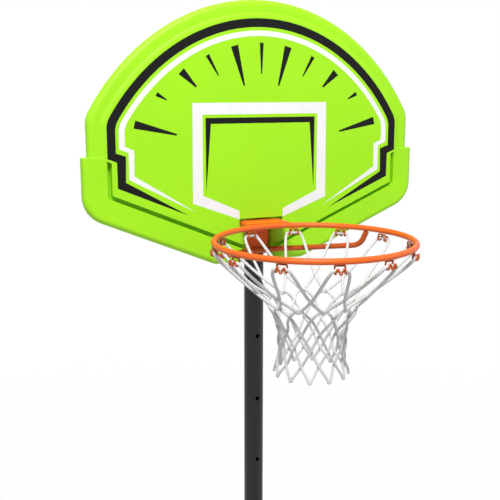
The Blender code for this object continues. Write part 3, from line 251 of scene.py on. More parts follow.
def trace(curve: bpy.types.Curve, points: Sequence[Sequence[float]], loop: bool) -> None:
    """Add a straight-sided line through points to a curve."""
    spline = curve.splines.new("POLY")
    spline.points.add(len(points) - 1)
    for point, place in zip(spline.points, points):
        point.co = (*place, 1.0)
    spline.use_cyclic_u = loop


def meshed(name: str, curve: bpy.types.Curve) -> Piece:
    """A curve made a mesh piece, picked."""
    piece = bpy.data.objects.new(name, curve)
    bpy.context.scene.collection.objects.link(piece)
    pick(piece)
    bpy.ops.object.convert(target="MESH")
    return bpy.context.view_layer.objects.active


def modify(piece: Piece, kind: str, **settings: object) -> None:
    """Give a piece a modifier with these settings and apply it."""
    modifier = piece.modifiers.new(kind, kind)
    for key, value in settings.items():
        setattr(modifier, key, value)
    pick(piece)
    bpy.ops.object.modifier_apply(modifier=modifier.name)


def outline(name: str, loops: Sequence[Sequence[Flat]], low: float, high: float,
            facing: Facing = Facing.UP, rounding: float = 0.0, steps: int = 4) -> Piece:
    """A flat outline given a thickness.

    Args:
        name: the piece's name.
        loops: the outline and any holes in it, each as points.
        low: lowest level along the thickness.
        high: highest level along the thickness.
        facing: which way the thickness runs; FRONT draws in X and Z, SIDE in Y and Z.
        rounding: radius of its outer edges.
        steps: steps round those edges.

    Returns:
        The new piece.
    """
    if facing is Facing.FRONT:
        low, high = -high, -low
    curve = bpy.data.curves.new(name, "CURVE")
    curve.dimensions = "2D"
    curve.fill_mode = "BOTH"
    curve.extrude = (high - low) / 2 - rounding
    curve.bevel_depth = rounding
    curve.bevel_resolution = steps
    curve.offset = -rounding
    for points in loops:
        trace(curve, [(x, y, 0.0) for x, y in points], True)
    piece = meshed(name, curve)
    weld_points(piece)
    return settle(piece, facing.value @ Matrix.Translation((0, 0, (low + high) / 2)))


def block(name: str, low: Place, high: Place) -> Piece:
    """A rough block between two corners, to be cut or to cut with."""
    size = [b - a for a, b in zip(low, high)]
    bpy.ops.object.select_all(action="DESELECT")
    bpy.ops.mesh.primitive_cube_add(size=1.0, location=middle_of(low, high), scale=size)
    return settle(taken(name))


def turned(name: str, profile: Sequence[Flat], sides: int = 48, facing: Facing = Facing.UP,
           place: Place = (0.0, 0.0, 0.0), hollow: bool = False) -> Piece:
    """A turned piece: a circle extruded and resized from station to station.

    Args:
        name: the piece's name.
        profile: stations of radius and height along the axis.
        sides: sides of the circle.
        facing: the axis; FRONT points at the viewer, -Y.
        place: where the axis starts.
        hollow: True joins the last station to the first, as in a tube.

    Returns:
        The new piece.
    """
    bpy.ops.object.select_all(action="DESELECT")
    radius, height = profile[0]
    bpy.ops.mesh.primitive_circle_add(vertices=sides, radius=radius, location=(0, 0, height))
    piece = settle(taken(name))
    bpy.ops.object.mode_set(mode="EDIT")
    bpy.ops.mesh.select_all(action="SELECT")
    if not hollow:
        bpy.ops.mesh.edge_face_add()
    stations = list(profile[1:]) + ([profile[0]] if hollow else [])
    for next_radius, next_height in stations:
        bpy.ops.mesh.extrude_region_move(TRANSFORM_OT_translate={"value": (0, 0, next_height - height)})
        grow = next_radius / radius
        bpy.ops.transform.resize(value=(grow, grow, 1.0), center_override=(0, 0, next_height))
        radius, height = next_radius, next_height
    bpy.ops.mesh.select_all(action="SELECT")
    bpy.ops.mesh.remove_doubles(threshold=0.000005)
    bpy.ops.mesh.normals_make_consistent(inside=False)
    bpy.ops.object.mode_set(mode="OBJECT")
    return settle(piece, Matrix.Translation(place) @ facing.value)


def rod_along(name: str, points: Sequence[Vector], radius: float, loop: bool = False,
              smooth: bool = False, sides: int = 16) -> Piece:
    """A round bar or cord along points.

    Args:
        name: the piece's name.
        points: the middle line.
        radius: half its thickness.
        loop: True closes the line.
        smooth: True runs a soft curve through the points.
        sides: sides of its section, a multiple of four.

    Returns:
        The new piece, with a UV map that follows the bar.
    """
    curve = bpy.data.curves.new(name, "CURVE")
    curve.dimensions = "3D"
    curve.bevel_depth = radius
    curve.bevel_resolution = sides // 4 - 1 if sides > 4 else 0
    curve.use_fill_caps = not loop
    if smooth:
        spline = curve.splines.new("BEZIER")
        spline.bezier_points.add(len(points) - 1)
        for point, place in zip(spline.bezier_points, points):
            point.co = place
            point.handle_left_type = "AUTO"
            point.handle_right_type = "AUTO"
        spline.resolution_u = 8
        spline.use_cyclic_u = loop
    else:
        trace(curve, points, loop)
    piece = meshed(name, curve)
    weld_points(piece)
    return piece


def bridge(name: str, rings: Sequence[Sequence[Place]]) -> Piece:
    """A closed form bridged over rings of points.

    Args:
        name: the piece's name.
        rings: closed rings in order, with equal numbers of points.

    Returns:
        The new piece, its two ends filled.
    """
    curve = bpy.data.curves.new(name, "CURVE")
    curve.dimensions = "3D"
    for ring in rings:
        trace(curve, ring, True)
    piece = meshed(name, curve)
    count = len(rings[0])
    bpy.ops.object.mode_set(mode="EDIT")
    for index in range(len(rings) - 1):
        bpy.ops.mesh.select_all(action="DESELECT")
        bpy.ops.object.mode_set(mode="OBJECT")
        for edge in piece.data.edges:
            edge.select = all(index * count <= vert < (index + 2) * count for vert in edge.vertices)
        bpy.ops.object.mode_set(mode="EDIT")
        bpy.ops.mesh.bridge_edge_loops()
    bpy.ops.mesh.select_all(action="SELECT")
    bpy.ops.mesh.fill_holes(sides=0)
    bpy.ops.mesh.normals_make_consistent(inside=False)
    bpy.ops.object.mode_set(mode="OBJECT")
    return piece


def combine(piece: Piece, tool: Piece, how: Join = Join.CUT) -> None:
    """Cut a tool out of a piece, or weld it on, and use the tool up."""
    modify(piece, "BOOLEAN", operation=how.value, solver="EXACT", object=tool)
    bpy.data.objects.remove(tool, do_unlink=True)


def merge(name: str, pieces: Sequence[Piece]) -> Piece:
    """Join several pieces into one object."""
    pick(*pieces)
    if len(pieces) > 1:
        bpy.ops.object.join()
    return taken(name)


def soften(piece: Piece, width: float, segments: int = 2, angle: float = 40.0) -> None:
    """Round the edges that are sharper than an angle in degrees."""
    modify(piece, "BEVEL", width=width, segments=segments, limit_method="ANGLE",
           angle_limit=math.radians(angle), use_clamp_overlap=True)


def shade_smooth(piece: Piece, angle: float) -> None:
    """Shade a piece smooth with its flats kept flat."""
    pick(piece)
    bpy.ops.object.shade_smooth_by_angle(angle=math.radians(angle))
    modify(piece, "WEIGHTED_NORMAL", keep_sharp=True)


def melt(piece: Piece, voxel: float, passes: int) -> None:
    """Run the corners of a moulded body into each other: a new skin, smoothed in passes."""
    modify(piece, "REMESH", mode="VOXEL", voxel_size=voxel)
    modify(piece, "SMOOTH", iterations=passes)


def drill(piece: Piece, radius: float, start: Place, length: float, facing: Facing,
          sides: int = 40) -> None:
    """Cut a round hole from a start along an axis."""
    combine(piece, turned("bore", [(radius, 0.0), (radius, length)], sides, facing, start))


def copied(piece: Piece, name: str, matrix: Matrix) -> Piece:
    """A copy of a piece with its own mesh, moved in the world."""
    twin = piece.copy()
    twin.data = piece.data.copy()
    twin.name = name
    twin.data.name = name
    bpy.context.scene.collection.objects.link(twin)
    return settle(twin, matrix)


# Finishes

class NodeSheet:
    """The nodes of one material, with short calls for those that the finishes use."""

    def __init__(self, name: str) -> None:
        """Open a new material.

        Args:
            name: the material's name.
        """
        self.material = bpy.data.materials.new(name)
        self.material.use_nodes = True
        self.tree = self.material.node_tree
        self.shader = self.tree.nodes["Principled BSDF"]

    def fix(self, name: str, value: float) -> None:
        """Set one of the shader's own numbers."""
        self.shader.inputs[name].default_value = value

    def wire(self, output: Socket, name: str) -> None:
        """Lead an output to one of the shader's sockets."""
        self.tree.links.new(output, self.shader.inputs[name])

    def node(self, kind: str, inputs: dict, **settings: object) -> bpy.types.Node:
        """Add a node.

        Args:
            kind: the node's type.
            inputs: numbers or outputs for its sockets, by name or index.
            settings: values of the node itself.

        Returns:
            The node.
        """
        node = self.tree.nodes.new(kind)
        for key, value in settings.items():
            setattr(node, key, value)
        for key, value in inputs.items():
            if isinstance(value, bpy.types.NodeSocket):
                self.tree.links.new(value, node.inputs[key])
            else:
                node.inputs[key].default_value = value
        return node

    def place(self, output: str = "Object", scale: Place = (1.0, 1.0, 1.0), turn: float = 0.0) -> Socket:
        """Coordinates on the piece, stretched and turned about Z as asked."""
        coordinates = self.node("ShaderNodeTexCoord", {})
        mapping = self.node("ShaderNodeMapping", {
            "Vector": coordinates.outputs[output], "Scale": scale, "Rotation": (0.0, 0.0, turn)})
        return mapping.outputs["Vector"]

    def noise(self, vector: Socket, scale: float, detail: float = 2.0) -> Socket:
        """Soft noise between nought and one."""
        return self.node("ShaderNodeTexNoise", {
            "Vector": vector, "Scale": scale, "Detail": detail}).outputs["Fac"]

    def cells(self, vector: Socket, scale: float) -> Socket:
        """Distance to the middle of irregular cells."""
        return self.node("ShaderNodeTexVoronoi", {"Vector": vector, "Scale": scale}).outputs["Distance"]

    def span(self, value: Socket, low: float, high: float, start: float, end: float) -> Socket:
        """Map one range of numbers onto another, held at its ends."""
        return self.node("ShaderNodeMapRange", {
            "Value": value, "From Min": low, "From Max": high, "To Min": start, "To Max": end}
        ).outputs["Result"]

    def calc(self, operation: str, first: object, second: object = 0.0) -> Socket:
        """A sum on two numbers."""
        return self.node("ShaderNodeMath", {0: first, 1: second}, operation=operation).outputs["Value"]

    def mix(self, factor: Socket, first: Colour, second: Colour) -> Socket:
        """A colour between two."""
        node = self.node("ShaderNodeMix", {0: factor}, data_type="RGBA")
        node.inputs[6].default_value = (*first, 1.0)
        node.inputs[7].default_value = (*second, 1.0)
        return node.outputs[2]

    def tone(self, factor: Socket, colour: Colour, dark: float, light: float) -> None:
        """Let the colour change between a darker and a lighter tone of it."""
        self.wire(self.mix(factor, shade(colour, dark), shade(colour, light)), "Base Color")

    def sheen(self, value: Socket, rough: float, less: float, more: float,
              span: Flat = (0.3, 0.7)) -> None:
        """Let the roughness change about its value, over a span of noise."""
        self.wire(self.span(value, *span, rough - less, rough + more), "Roughness")

    def bump(self, height: Socket, distance: float, before: Optional[Socket] = None) -> Socket:
        """Relief of a depth in metres, over an earlier relief if one is given."""
        inputs = {"Height": height, "Distance": distance, "Strength": 1.0}
        if before is not None:
            inputs["Normal"] = before
        return self.node("ShaderNodeBump", inputs).outputs["Normal"]


def shade(colour: Colour, factor: float) -> Colour:
    """A colour made lighter or darker."""
    return tuple(min(1.0, value * factor) for value in colour)


@dataclass(frozen=True)
class Finish:
    """A surface finish: its name, its slot and its main values."""

    name: str
    slot: str
    colour: Colour
    roughness: float
    gloss: float = 0.5

    def lay(self, sheet: NodeSheet) -> None:
        """Lay the finish's nodes on a sheet."""
        raise NotImplementedError

    def material(self) -> bpy.types.Material:
        """The finish's material, made the first time it is asked for."""
        known = bpy.data.materials.get(self.name)
        if known is not None:
            return known
        sheet = NodeSheet(self.name)
        sheet.fix("Specular IOR Level", self.gloss)
        self.lay(sheet)
        return sheet.material


@dataclass(frozen=True)
class MouldedPlastic(Finish):
    """Blow-moulded plastic: a fine grain over faint waves, and scuffs where it is handled."""

    grain: float = 0.00003
    scuffs: float = 0.0
    scuff: Colour = (0.12, 0.12, 0.12)

    def lay(self, sheet: NodeSheet) -> None:
        """Lay the grain, the waves and the scuffs."""
        spot = sheet.place()
        cloud = sheet.noise(spot, 7.0, 3.0)
        colour = sheet.mix(sheet.span(cloud, 0.3, 0.7, 0.0, 1.0), shade(self.colour, 0.97),
                           shade(self.colour, 1.03))
        if self.scuffs > 0:
            rub = sheet.noise(sheet.place(scale=(1.0, 1.0, 3.0)), 60.0, 8.0)
            mask = sheet.span(rub, 0.62, 0.75, 0.0, self.scuffs)
            mixer = sheet.node("ShaderNodeMix", {0: mask, 6: colour}, data_type="RGBA")
            mixer.inputs[7].default_value = (*self.scuff, 1.0)
            colour = mixer.outputs[2]
        sheet.wire(colour, "Base Color")
        sheet.sheen(sheet.noise(spot, 45.0, 4.0), self.roughness, 0.04, 0.05)
        waves = sheet.bump(sheet.noise(spot, 9.0, 1.0), 0.0006)
        sheet.wire(sheet.bump(sheet.noise(spot, 1500.0, 2.0), self.grain, waves), "Normal")
        sheet.fix("IOR", 1.5)


@dataclass(frozen=True)
class PowderCoat(Finish):
    """Baked powder paint on steel: a soft orange-peel skin."""

    peel: float = 0.00006

    def lay(self, sheet: NodeSheet) -> None:
        """Lay the peel and the small changes of tone."""
        spot = sheet.place()
        tone = sheet.span(sheet.noise(spot, 25.0, 3.0), 0.3, 0.7, 0.0, 1.0)
        sheet.tone(tone, self.colour, 0.95, 1.04)
        sheet.sheen(sheet.noise(spot, 160.0, 3.0), self.roughness, 0.05, 0.06)
        skin = sheet.bump(sheet.noise(spot, 420.0, 1.0), self.peel)
        sheet.wire(sheet.bump(sheet.noise(spot, 2200.0, 1.0), self.peel / 4, skin), "Normal")


@dataclass(frozen=True)
class ZincPlate(Finish):
    """Bright zinc plating with cloudy crystals."""

    def lay(self, sheet: NodeSheet) -> None:
        """Lay the crystals and the drawn marks."""
        spot = sheet.place()
        crystals = sheet.cells(spot, 350.0)
        sheet.tone(crystals, self.colour, 0.85, 1.1)
        sheet.sheen(crystals, self.roughness, 0.06, 0.1, (0.0, 0.8))
        sheet.wire(sheet.bump(sheet.noise(spot, 1800.0, 3.0), 0.00002), "Normal")
        sheet.fix("Metallic", 1.0)


@dataclass(frozen=True)
class BraidedCord(Finish):
    """Braided white cord, whose plaits follow its own UV map."""

    length: float = 3.0
    plait: float = 0.006

    def lay(self, sheet: NodeSheet) -> None:
        """Lay two crossing sets of strands, the painted shade between them, and the fluff."""
        along = self.length / self.plait
        ways = []
        for lean in (1.0, -1.0):
            spot = sheet.node("ShaderNodeSeparateXYZ", {0: sheet.place("UV")})
            run = sheet.calc("MULTIPLY", spot.outputs["X"], along)
            turn = sheet.calc("MULTIPLY", spot.outputs["Y"], 2.0 * lean)
            phase = sheet.calc("MULTIPLY", sheet.calc("ADD", run, turn), 2 * math.pi)
            ways.append(sheet.calc("SINE", phase))
        strands = sheet.span(sheet.calc("MAXIMUM", *ways), -0.2, 1.0, 0.0, 1.0)
        fluff = sheet.noise(sheet.place(), 900.0, 4.0)
        # Colour darker between the strands: painted shade in the braid's grooves, times the fluff's random
        # tone
        strand_shade_and_fluff = sheet.calc("MULTIPLY", strands, sheet.span(fluff, 0.2, 0.8, 0.75, 1.0))
        sheet.tone(strand_shade_and_fluff, self.colour, 0.93, 1.0)
        sheet.sheen(fluff, self.roughness, 0.08, 0.0)
        sheet.wire(sheet.bump(strands, 0.00012, sheet.bump(fluff, 0.00005)), "Normal")
        sheet.fix("Sheen Weight", 0.1)
        sheet.fix("Sheen Roughness", 0.5)


@dataclass(frozen=True)
class ScreenInk(Finish):
    """Ink printed on the board through a screen."""

    def lay(self, sheet: NodeSheet) -> None:
        """Lay the mesh of the screen and the ink's small changes of tone."""
        spot = sheet.place()
        weave = sheet.noise(spot, 3000.0, 1.0)
        tone = sheet.span(sheet.noise(spot, 30.0, 2.0), 0.3, 0.7, 0.0, 1.0)
        sheet.tone(tone, self.colour, 0.97, 1.02)
        sheet.sheen(weave, self.roughness, 0.05, 0.05)
        sheet.wire(sheet.bump(weave, 0.00001), "Normal")


@dataclass(frozen=True)
class Rubber(Finish):
    """Dull black rubber."""

    def lay(self, sheet: NodeSheet) -> None:
        """Lay the bloom and the fine grain."""
        spot = sheet.place()
        sheet.tone(sheet.noise(spot, 60.0, 4.0), self.colour, 0.8, 1.5)
        sheet.sheen(sheet.noise(spot, 120.0, 3.0), self.roughness, 0.1, 0.05)
        sheet.wire(sheet.bump(sheet.noise(spot, 900.0, 2.0), 0.00006), "Normal")


LIME = MouldedPlastic("lime_moulding", "lime_plastic", (0.330, 0.735, 0.010), 0.5, 0.30)
ORANGE = PowderCoat("orange_powder_coat", "orange_paint", (0.790, 0.125, 0.010), 0.42, 0.35)
# A darker copy of the ring's orange powder coat: painted shade for the thin brace rod and hooks, which are
# the same coat
ORANGE_PAINTED_SHADE = PowderCoat("orange_coat_painted_shade", "orange_paint", (0.470, 0.074, 0.007), 0.42, 0.35)
BLACK_TUBE = PowderCoat("black_powder_coat", "black_paint", (0.009, 0.009, 0.0095), 0.45, 0.32)
BLACK_MOULDING = MouldedPlastic("black_moulding", "black_plastic", (0.013, 0.013, 0.014), 0.52, 0.40,
                                grain=0.00008, scuffs=0.12)
BLACK_FITTING = MouldedPlastic("black_fitting", "black_plastic", (0.014, 0.014, 0.015), 0.48, 0.40)
ZINC = ZincPlate("zinc_plate", "zinc", (0.62, 0.63, 0.65), 0.32)
CORD = BraidedCord("braided_cord", "white_cord", (0.655, 0.655, 0.66), 0.8, 0.2)
SEAL_RUBBER = Rubber("seal_rubber", "rubber", (0.012, 0.012, 0.012), 0.75, 0.3)
BLACK_INK = ScreenInk("black_ink", "lime_plastic", (0.007, 0.007, 0.007), 0.5, 0.12)
WHITE_INK = ScreenInk("white_ink", "lime_plastic", (0.80, 0.80, 0.80), 0.45, 0.25)


def dress(piece: Piece, finish: Finish, body: str, *replaced: str, angle: float = 32.0) -> None:
    """Give a modelled piece its shading, its finish, its body and the nodes that it stands for.

    Args:
        piece: the modelled piece.
        finish: its finish.
        body: the CAD body that it moves with.
        replaced: names of the CAD nodes that it replaces.
        angle: edges sharper than this many degrees stay sharp; nought leaves all faces flat.
    """
    if angle:
        shade_smooth(piece, angle)
    piece.data.materials.clear()
    piece.data.materials.append(finish.material())
    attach(piece, body)
    if replaced:
        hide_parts(*replaced)
    log.info("%s: %d faces, on %s", piece.name, len(piece.data.polygons), body)


# Places read from the frame

@dataclass(frozen=True)
class Anchors:
    """The places that the sub-assemblies share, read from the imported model."""

    pole_y: float
    board_y: float
    ring_y: float
    rim_z: float
    ring_radius: float
    rod_radius: float

    @classmethod
    def read(cls) -> "Anchors":
        """Read the places from the boxes of the CAD nodes."""
        ring_low, ring_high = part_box("rim_ring")
        pole_low, pole_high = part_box("upper_pole")
        board_low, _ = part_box("backboard")
        rod = (ring_high[2] - ring_low[2]) / 2
        _, ring_y, rim_z = middle_of(ring_low, ring_high)
        return cls(
            pole_y=middle_of(pole_low, pole_high)[1],
            board_y=board_low[1],
            ring_y=ring_y,
            rim_z=rim_z,
            ring_radius=(ring_high[0] - ring_low[0]) / 2 - rod,
            rod_radius=rod,
        )

    def pole(self, height: float = 0.0) -> Place:
        """A point on the poles' axis."""
        return (0.0, self.pole_y, height)

    def board(self) -> Matrix:
        """Moves from the board's own frame: its face is at Y = 0 and the rim at Z = 0."""
        return Matrix.Translation((0.0, self.board_y, self.rim_z))

    def ring(self) -> Matrix:
        """Moves from the ring's own frame."""
        return Matrix.Translation((0.0, self.ring_y, self.rim_z))


# Backboard

@dataclass
class Backboard:
    """The blow-moulded board: border, raised panel, wrap, groove, notch and rear pockets."""

    at: Anchors
    thickness: float = 0.025
    shoulder: float = 0.046
    set_back: float = 0.005
    half_width: float = 0.3833
    wrap_step: float = 0.0127
    wrap_top: float = 0.156
    wrap_corner: float = 0.062
    wrap_lip: float = 0.0034
    wrap_inset: float = 0.0003
    wrap_soft: float = 0.0014
    bottom: float = -0.088
    slope: float = 0.4243
    slope_rise: float = -0.1332
    arch_overhang: float = 0.0287
    arch_height: float = 0.4784
    arch_centre: float = -0.0378
    border: float = 0.0393
    panel_lip: float = 0.0015
    panel_slope: float = 0.011
    groove_width: float = 0.0090
    wrap_width: float = 0.0605
    groove_top: float = 0.1475
    groove_depth: float = 0.0165
    groove_shallow: float = 0.0075
    groove_rise: float = -0.0654
    notch_half_width: float = 0.029
    notch_rounding: float = 0.025
    notch_top: float = 0.0076
    slot_half_width: float = 0.0525
    slot_top: float = 0.0115
    slot_bottom: float = -0.0055
    slot_depth: float = 0.012
    pocket_pitch: float = 0.090
    pocket_radius: float = 0.023
    pocket_draft: float = 0.006
    pocket_depth: float = 0.017
    pocket_margin: float = 0.040
    pocket_soft: float = 0.003
    channel_radius: float = 0.022525
    pole_clear: float = 0.089
    overrun: float = 0.010

    @property
    def back(self) -> float:
        """The board's rear face behind the panel's front."""
        return self.set_back + self.thickness

    @property
    def wrap_half_width(self) -> float:
        """Half the width of the lower part."""
        return self.half_width + self.wrap_step

    def arch(self, grow: float, side: float, steps: int) -> list[Place]:
        """Corners over the arch from right to left, where its side lies at a half width."""
        across, high = self.half_width + self.arch_overhang + grow, self.arch_height + grow
        start = math.acos(side / across)
        points = arc((0.0, self.arch_centre), (across, high), start, math.pi - start, steps)
        return shouldered(points, self.shoulder)

    def edge(self) -> list[Flat]:
        """The outer edge of the board's arched part, which ends inside the wrap."""
        arch = self.arch(self.border, self.half_width, 90)
        low = self.wrap_top - self.wrap_corner
        return rounded(arch + [(-self.half_width, low, 0.0), (self.half_width, low, 0.0)], steps=10)

    def wrap(self) -> Piece:
        """The wider lower part, a little in front of the border."""
        flat_end = (self.bottom - self.slope_rise) / self.slope
        right = [
            (flat_end, self.bottom, 0.020),
            (self.wrap_half_width, self.slope * self.wrap_half_width + self.slope_rise, self.wrap_corner),
            (self.wrap_half_width, self.wrap_top + self.thickness, 0.0),
        ]
        edge = rounded(flipped(right) + right, steps=10)
        wrap = outline("wrap", [edge], self.set_back - self.wrap_lip, self.back - self.wrap_inset,
                       Facing.FRONT, self.thickness / 2 - 0.0004, 6)
        wide, high = self.wrap_half_width + self.overrun, self.wrap_top + 2 * self.thickness
        combine(wrap, block("top", (-wide, -self.overrun, self.wrap_top),
                            (wide, self.back + self.overrun, high)))
        soften(wrap, self.wrap_soft, 3)
        return wrap

    def panel(self, grow: float) -> list[Flat]:
        """The raised panel's edge, its upper part grown by the border's slope."""
        stripe = self.half_width - self.border
        side = self.wrap_half_width - self.wrap_width
        arch = self.arch(self.panel_lip + grow, stripe + self.panel_lip + grow, 84)
        right = [
            (self.notch_half_width, self.slope * self.notch_half_width + self.groove_rise, 0.0),
            (side, self.slope * side + self.groove_rise, 0.0),
            (side, self.groove_top - 0.004, 0.0),
            (stripe + self.panel_lip + grow, self.groove_top, 0.0),
        ]
        return rounded(arch + flipped(right) + right)

    def groove(self, side: int) -> list[Flat]:
        """The groove between the panel and the wrap, on one side."""
        inner = self.wrap_half_width - self.wrap_width
        outer = inner + self.groove_width
        drop = self.groove_width * math.sqrt(1 + self.slope ** 2)
        centre = self.notch_half_width - 0.004
        points = [
            (inner, self.groove_top - 0.004, 0.0),
            (inner, self.slope * inner + self.groove_rise, 0.003),
            (centre, self.slope * centre + self.groove_rise, 0.0),
            (centre, self.slope * centre + self.groove_rise - drop, 0.0),
            (outer, self.slope * outer + self.groove_rise - drop, 0.008),
            (outer, self.groove_top, 0.0),
        ]
        return [(side * x, z) for x, z in rounded(points, steps=6)]

    def holds(self, x: float, z: float, margin: float) -> bool:
        """True where a point lies inside the board's edge by a margin."""
        across = self.half_width + self.arch_overhang + self.border - margin
        high = self.arch_height + self.border - margin
        return ((x / across) ** 2 + ((z - self.arch_centre) / high) ** 2 < 1
                and abs(x) < self.half_width - margin
                and z > self.slope * abs(x) + self.slope_rise + margin * 1.1
                and z > self.bottom + margin)

    def behind_groove(self, x: float, z: float) -> bool:
        """True where a pocket lies behind the groove, so that it has to be shallower."""
        inner = self.wrap_half_width - self.wrap_width
        reach = self.pocket_radius + self.groove_width
        slant = z - self.slope * abs(x) - self.groove_rise
        return ((abs(slant) < reach * 1.1 and abs(x) < inner + reach)
                or (abs(abs(x) - inner) < reach and slant > 0 and z < self.groove_top + reach))

    def pocket_places(self) -> list[Flat]:
        """Places of the rear pockets, in staggered rows clear of the pole."""
        places: list[Flat] = []
        for row in range(-1, 7):
            height = row * self.pocket_pitch * math.sqrt(3) / 2 + 0.012
            shift = self.pocket_pitch / 2 if row % 2 else 0.0
            for column in range(6):
                across = self.pole_clear + shift + column * self.pocket_pitch
                if self.holds(across, height, self.pocket_margin):
                    places += [(across, height), (-across, height)]
        return places

    def pockets(self) -> Piece:
        """The cutter for all rear pockets: one drafted plug, copied."""
        low, soft = self.pocket_radius - self.pocket_draft, self.pocket_soft
        plug = turned("pocket", [
            (low - soft, self.pocket_depth), (low - soft * 0.3, self.pocket_depth - soft * 0.3),
            (low, self.pocket_depth - soft), (self.pocket_radius, 0.001),
            (self.pocket_radius + 0.0012, 0.0002), (self.pocket_radius + 0.004, -0.001)], sides=28,
            facing=Facing.FRONT, place=(0.0, self.back, 0.0))
        copies = []
        for x, z in self.pocket_places():
            raised = self.groove_shallow if self.behind_groove(x, z) else 0.0
            copies.append(copied(plug, "pocket", Matrix.Translation((x, raised, z))))
        bpy.data.objects.remove(plug, do_unlink=True)
        return merge("pockets", copies)

    def notch(self) -> Piece:
        """The cutter for the notch in the lower edge, with its flared front."""
        wall = arc((self.notch_half_width + self.notch_rounding, self.back),
                   (self.notch_rounding, self.back), math.pi, 1.5 * math.pi, 12)
        wall = [(self.notch_half_width, self.back + self.overrun)] + wall
        wall.append((wall[-1][0], -self.overrun))
        return outline("notch", [mirrored(wall)], self.bottom - self.overrun, self.notch_top)

    def build(self) -> None:
        """Model the board and dress it."""
        board = outline("board_shell", [self.edge()], self.set_back, self.back, Facing.FRONT,
                        self.thickness / 2 - 0.0001, 6)
        combine(board, self.wrap(), Join.WELD)
        rings = [[(x, y, z) for x, z in self.panel(grow)]
                 for y, grow in ((0.0, 0.0), (self.set_back, self.panel_slope),
                                 (self.set_back + 0.004, self.panel_slope))]
        combine(board, bridge("panel", rings), Join.WELD)
        for side in (-1, 1):
            combine(board, outline("groove", [self.groove(side)], -self.overrun / 2,
                                   self.groove_depth, Facing.FRONT))
        combine(board, self.notch())
        slot = block("slot", (-self.slot_half_width, -self.overrun, self.slot_bottom),
                     (self.slot_half_width, self.slot_depth, self.slot_top + 0.0001))
        combine(board, slot)
        channel = turned("channel", [
            (self.channel_radius, self.slot_top - self.overrun),
            (self.channel_radius, self.arch_height + self.arch_centre + self.border + self.overrun)],
            sides=64, place=(0.0, BOARD_TO_POLE, 0.0))
        combine(board, channel)
        combine(board, self.pockets())
        settle(board, self.at.board())
        dress(board, LIME, MAST, "backboard")


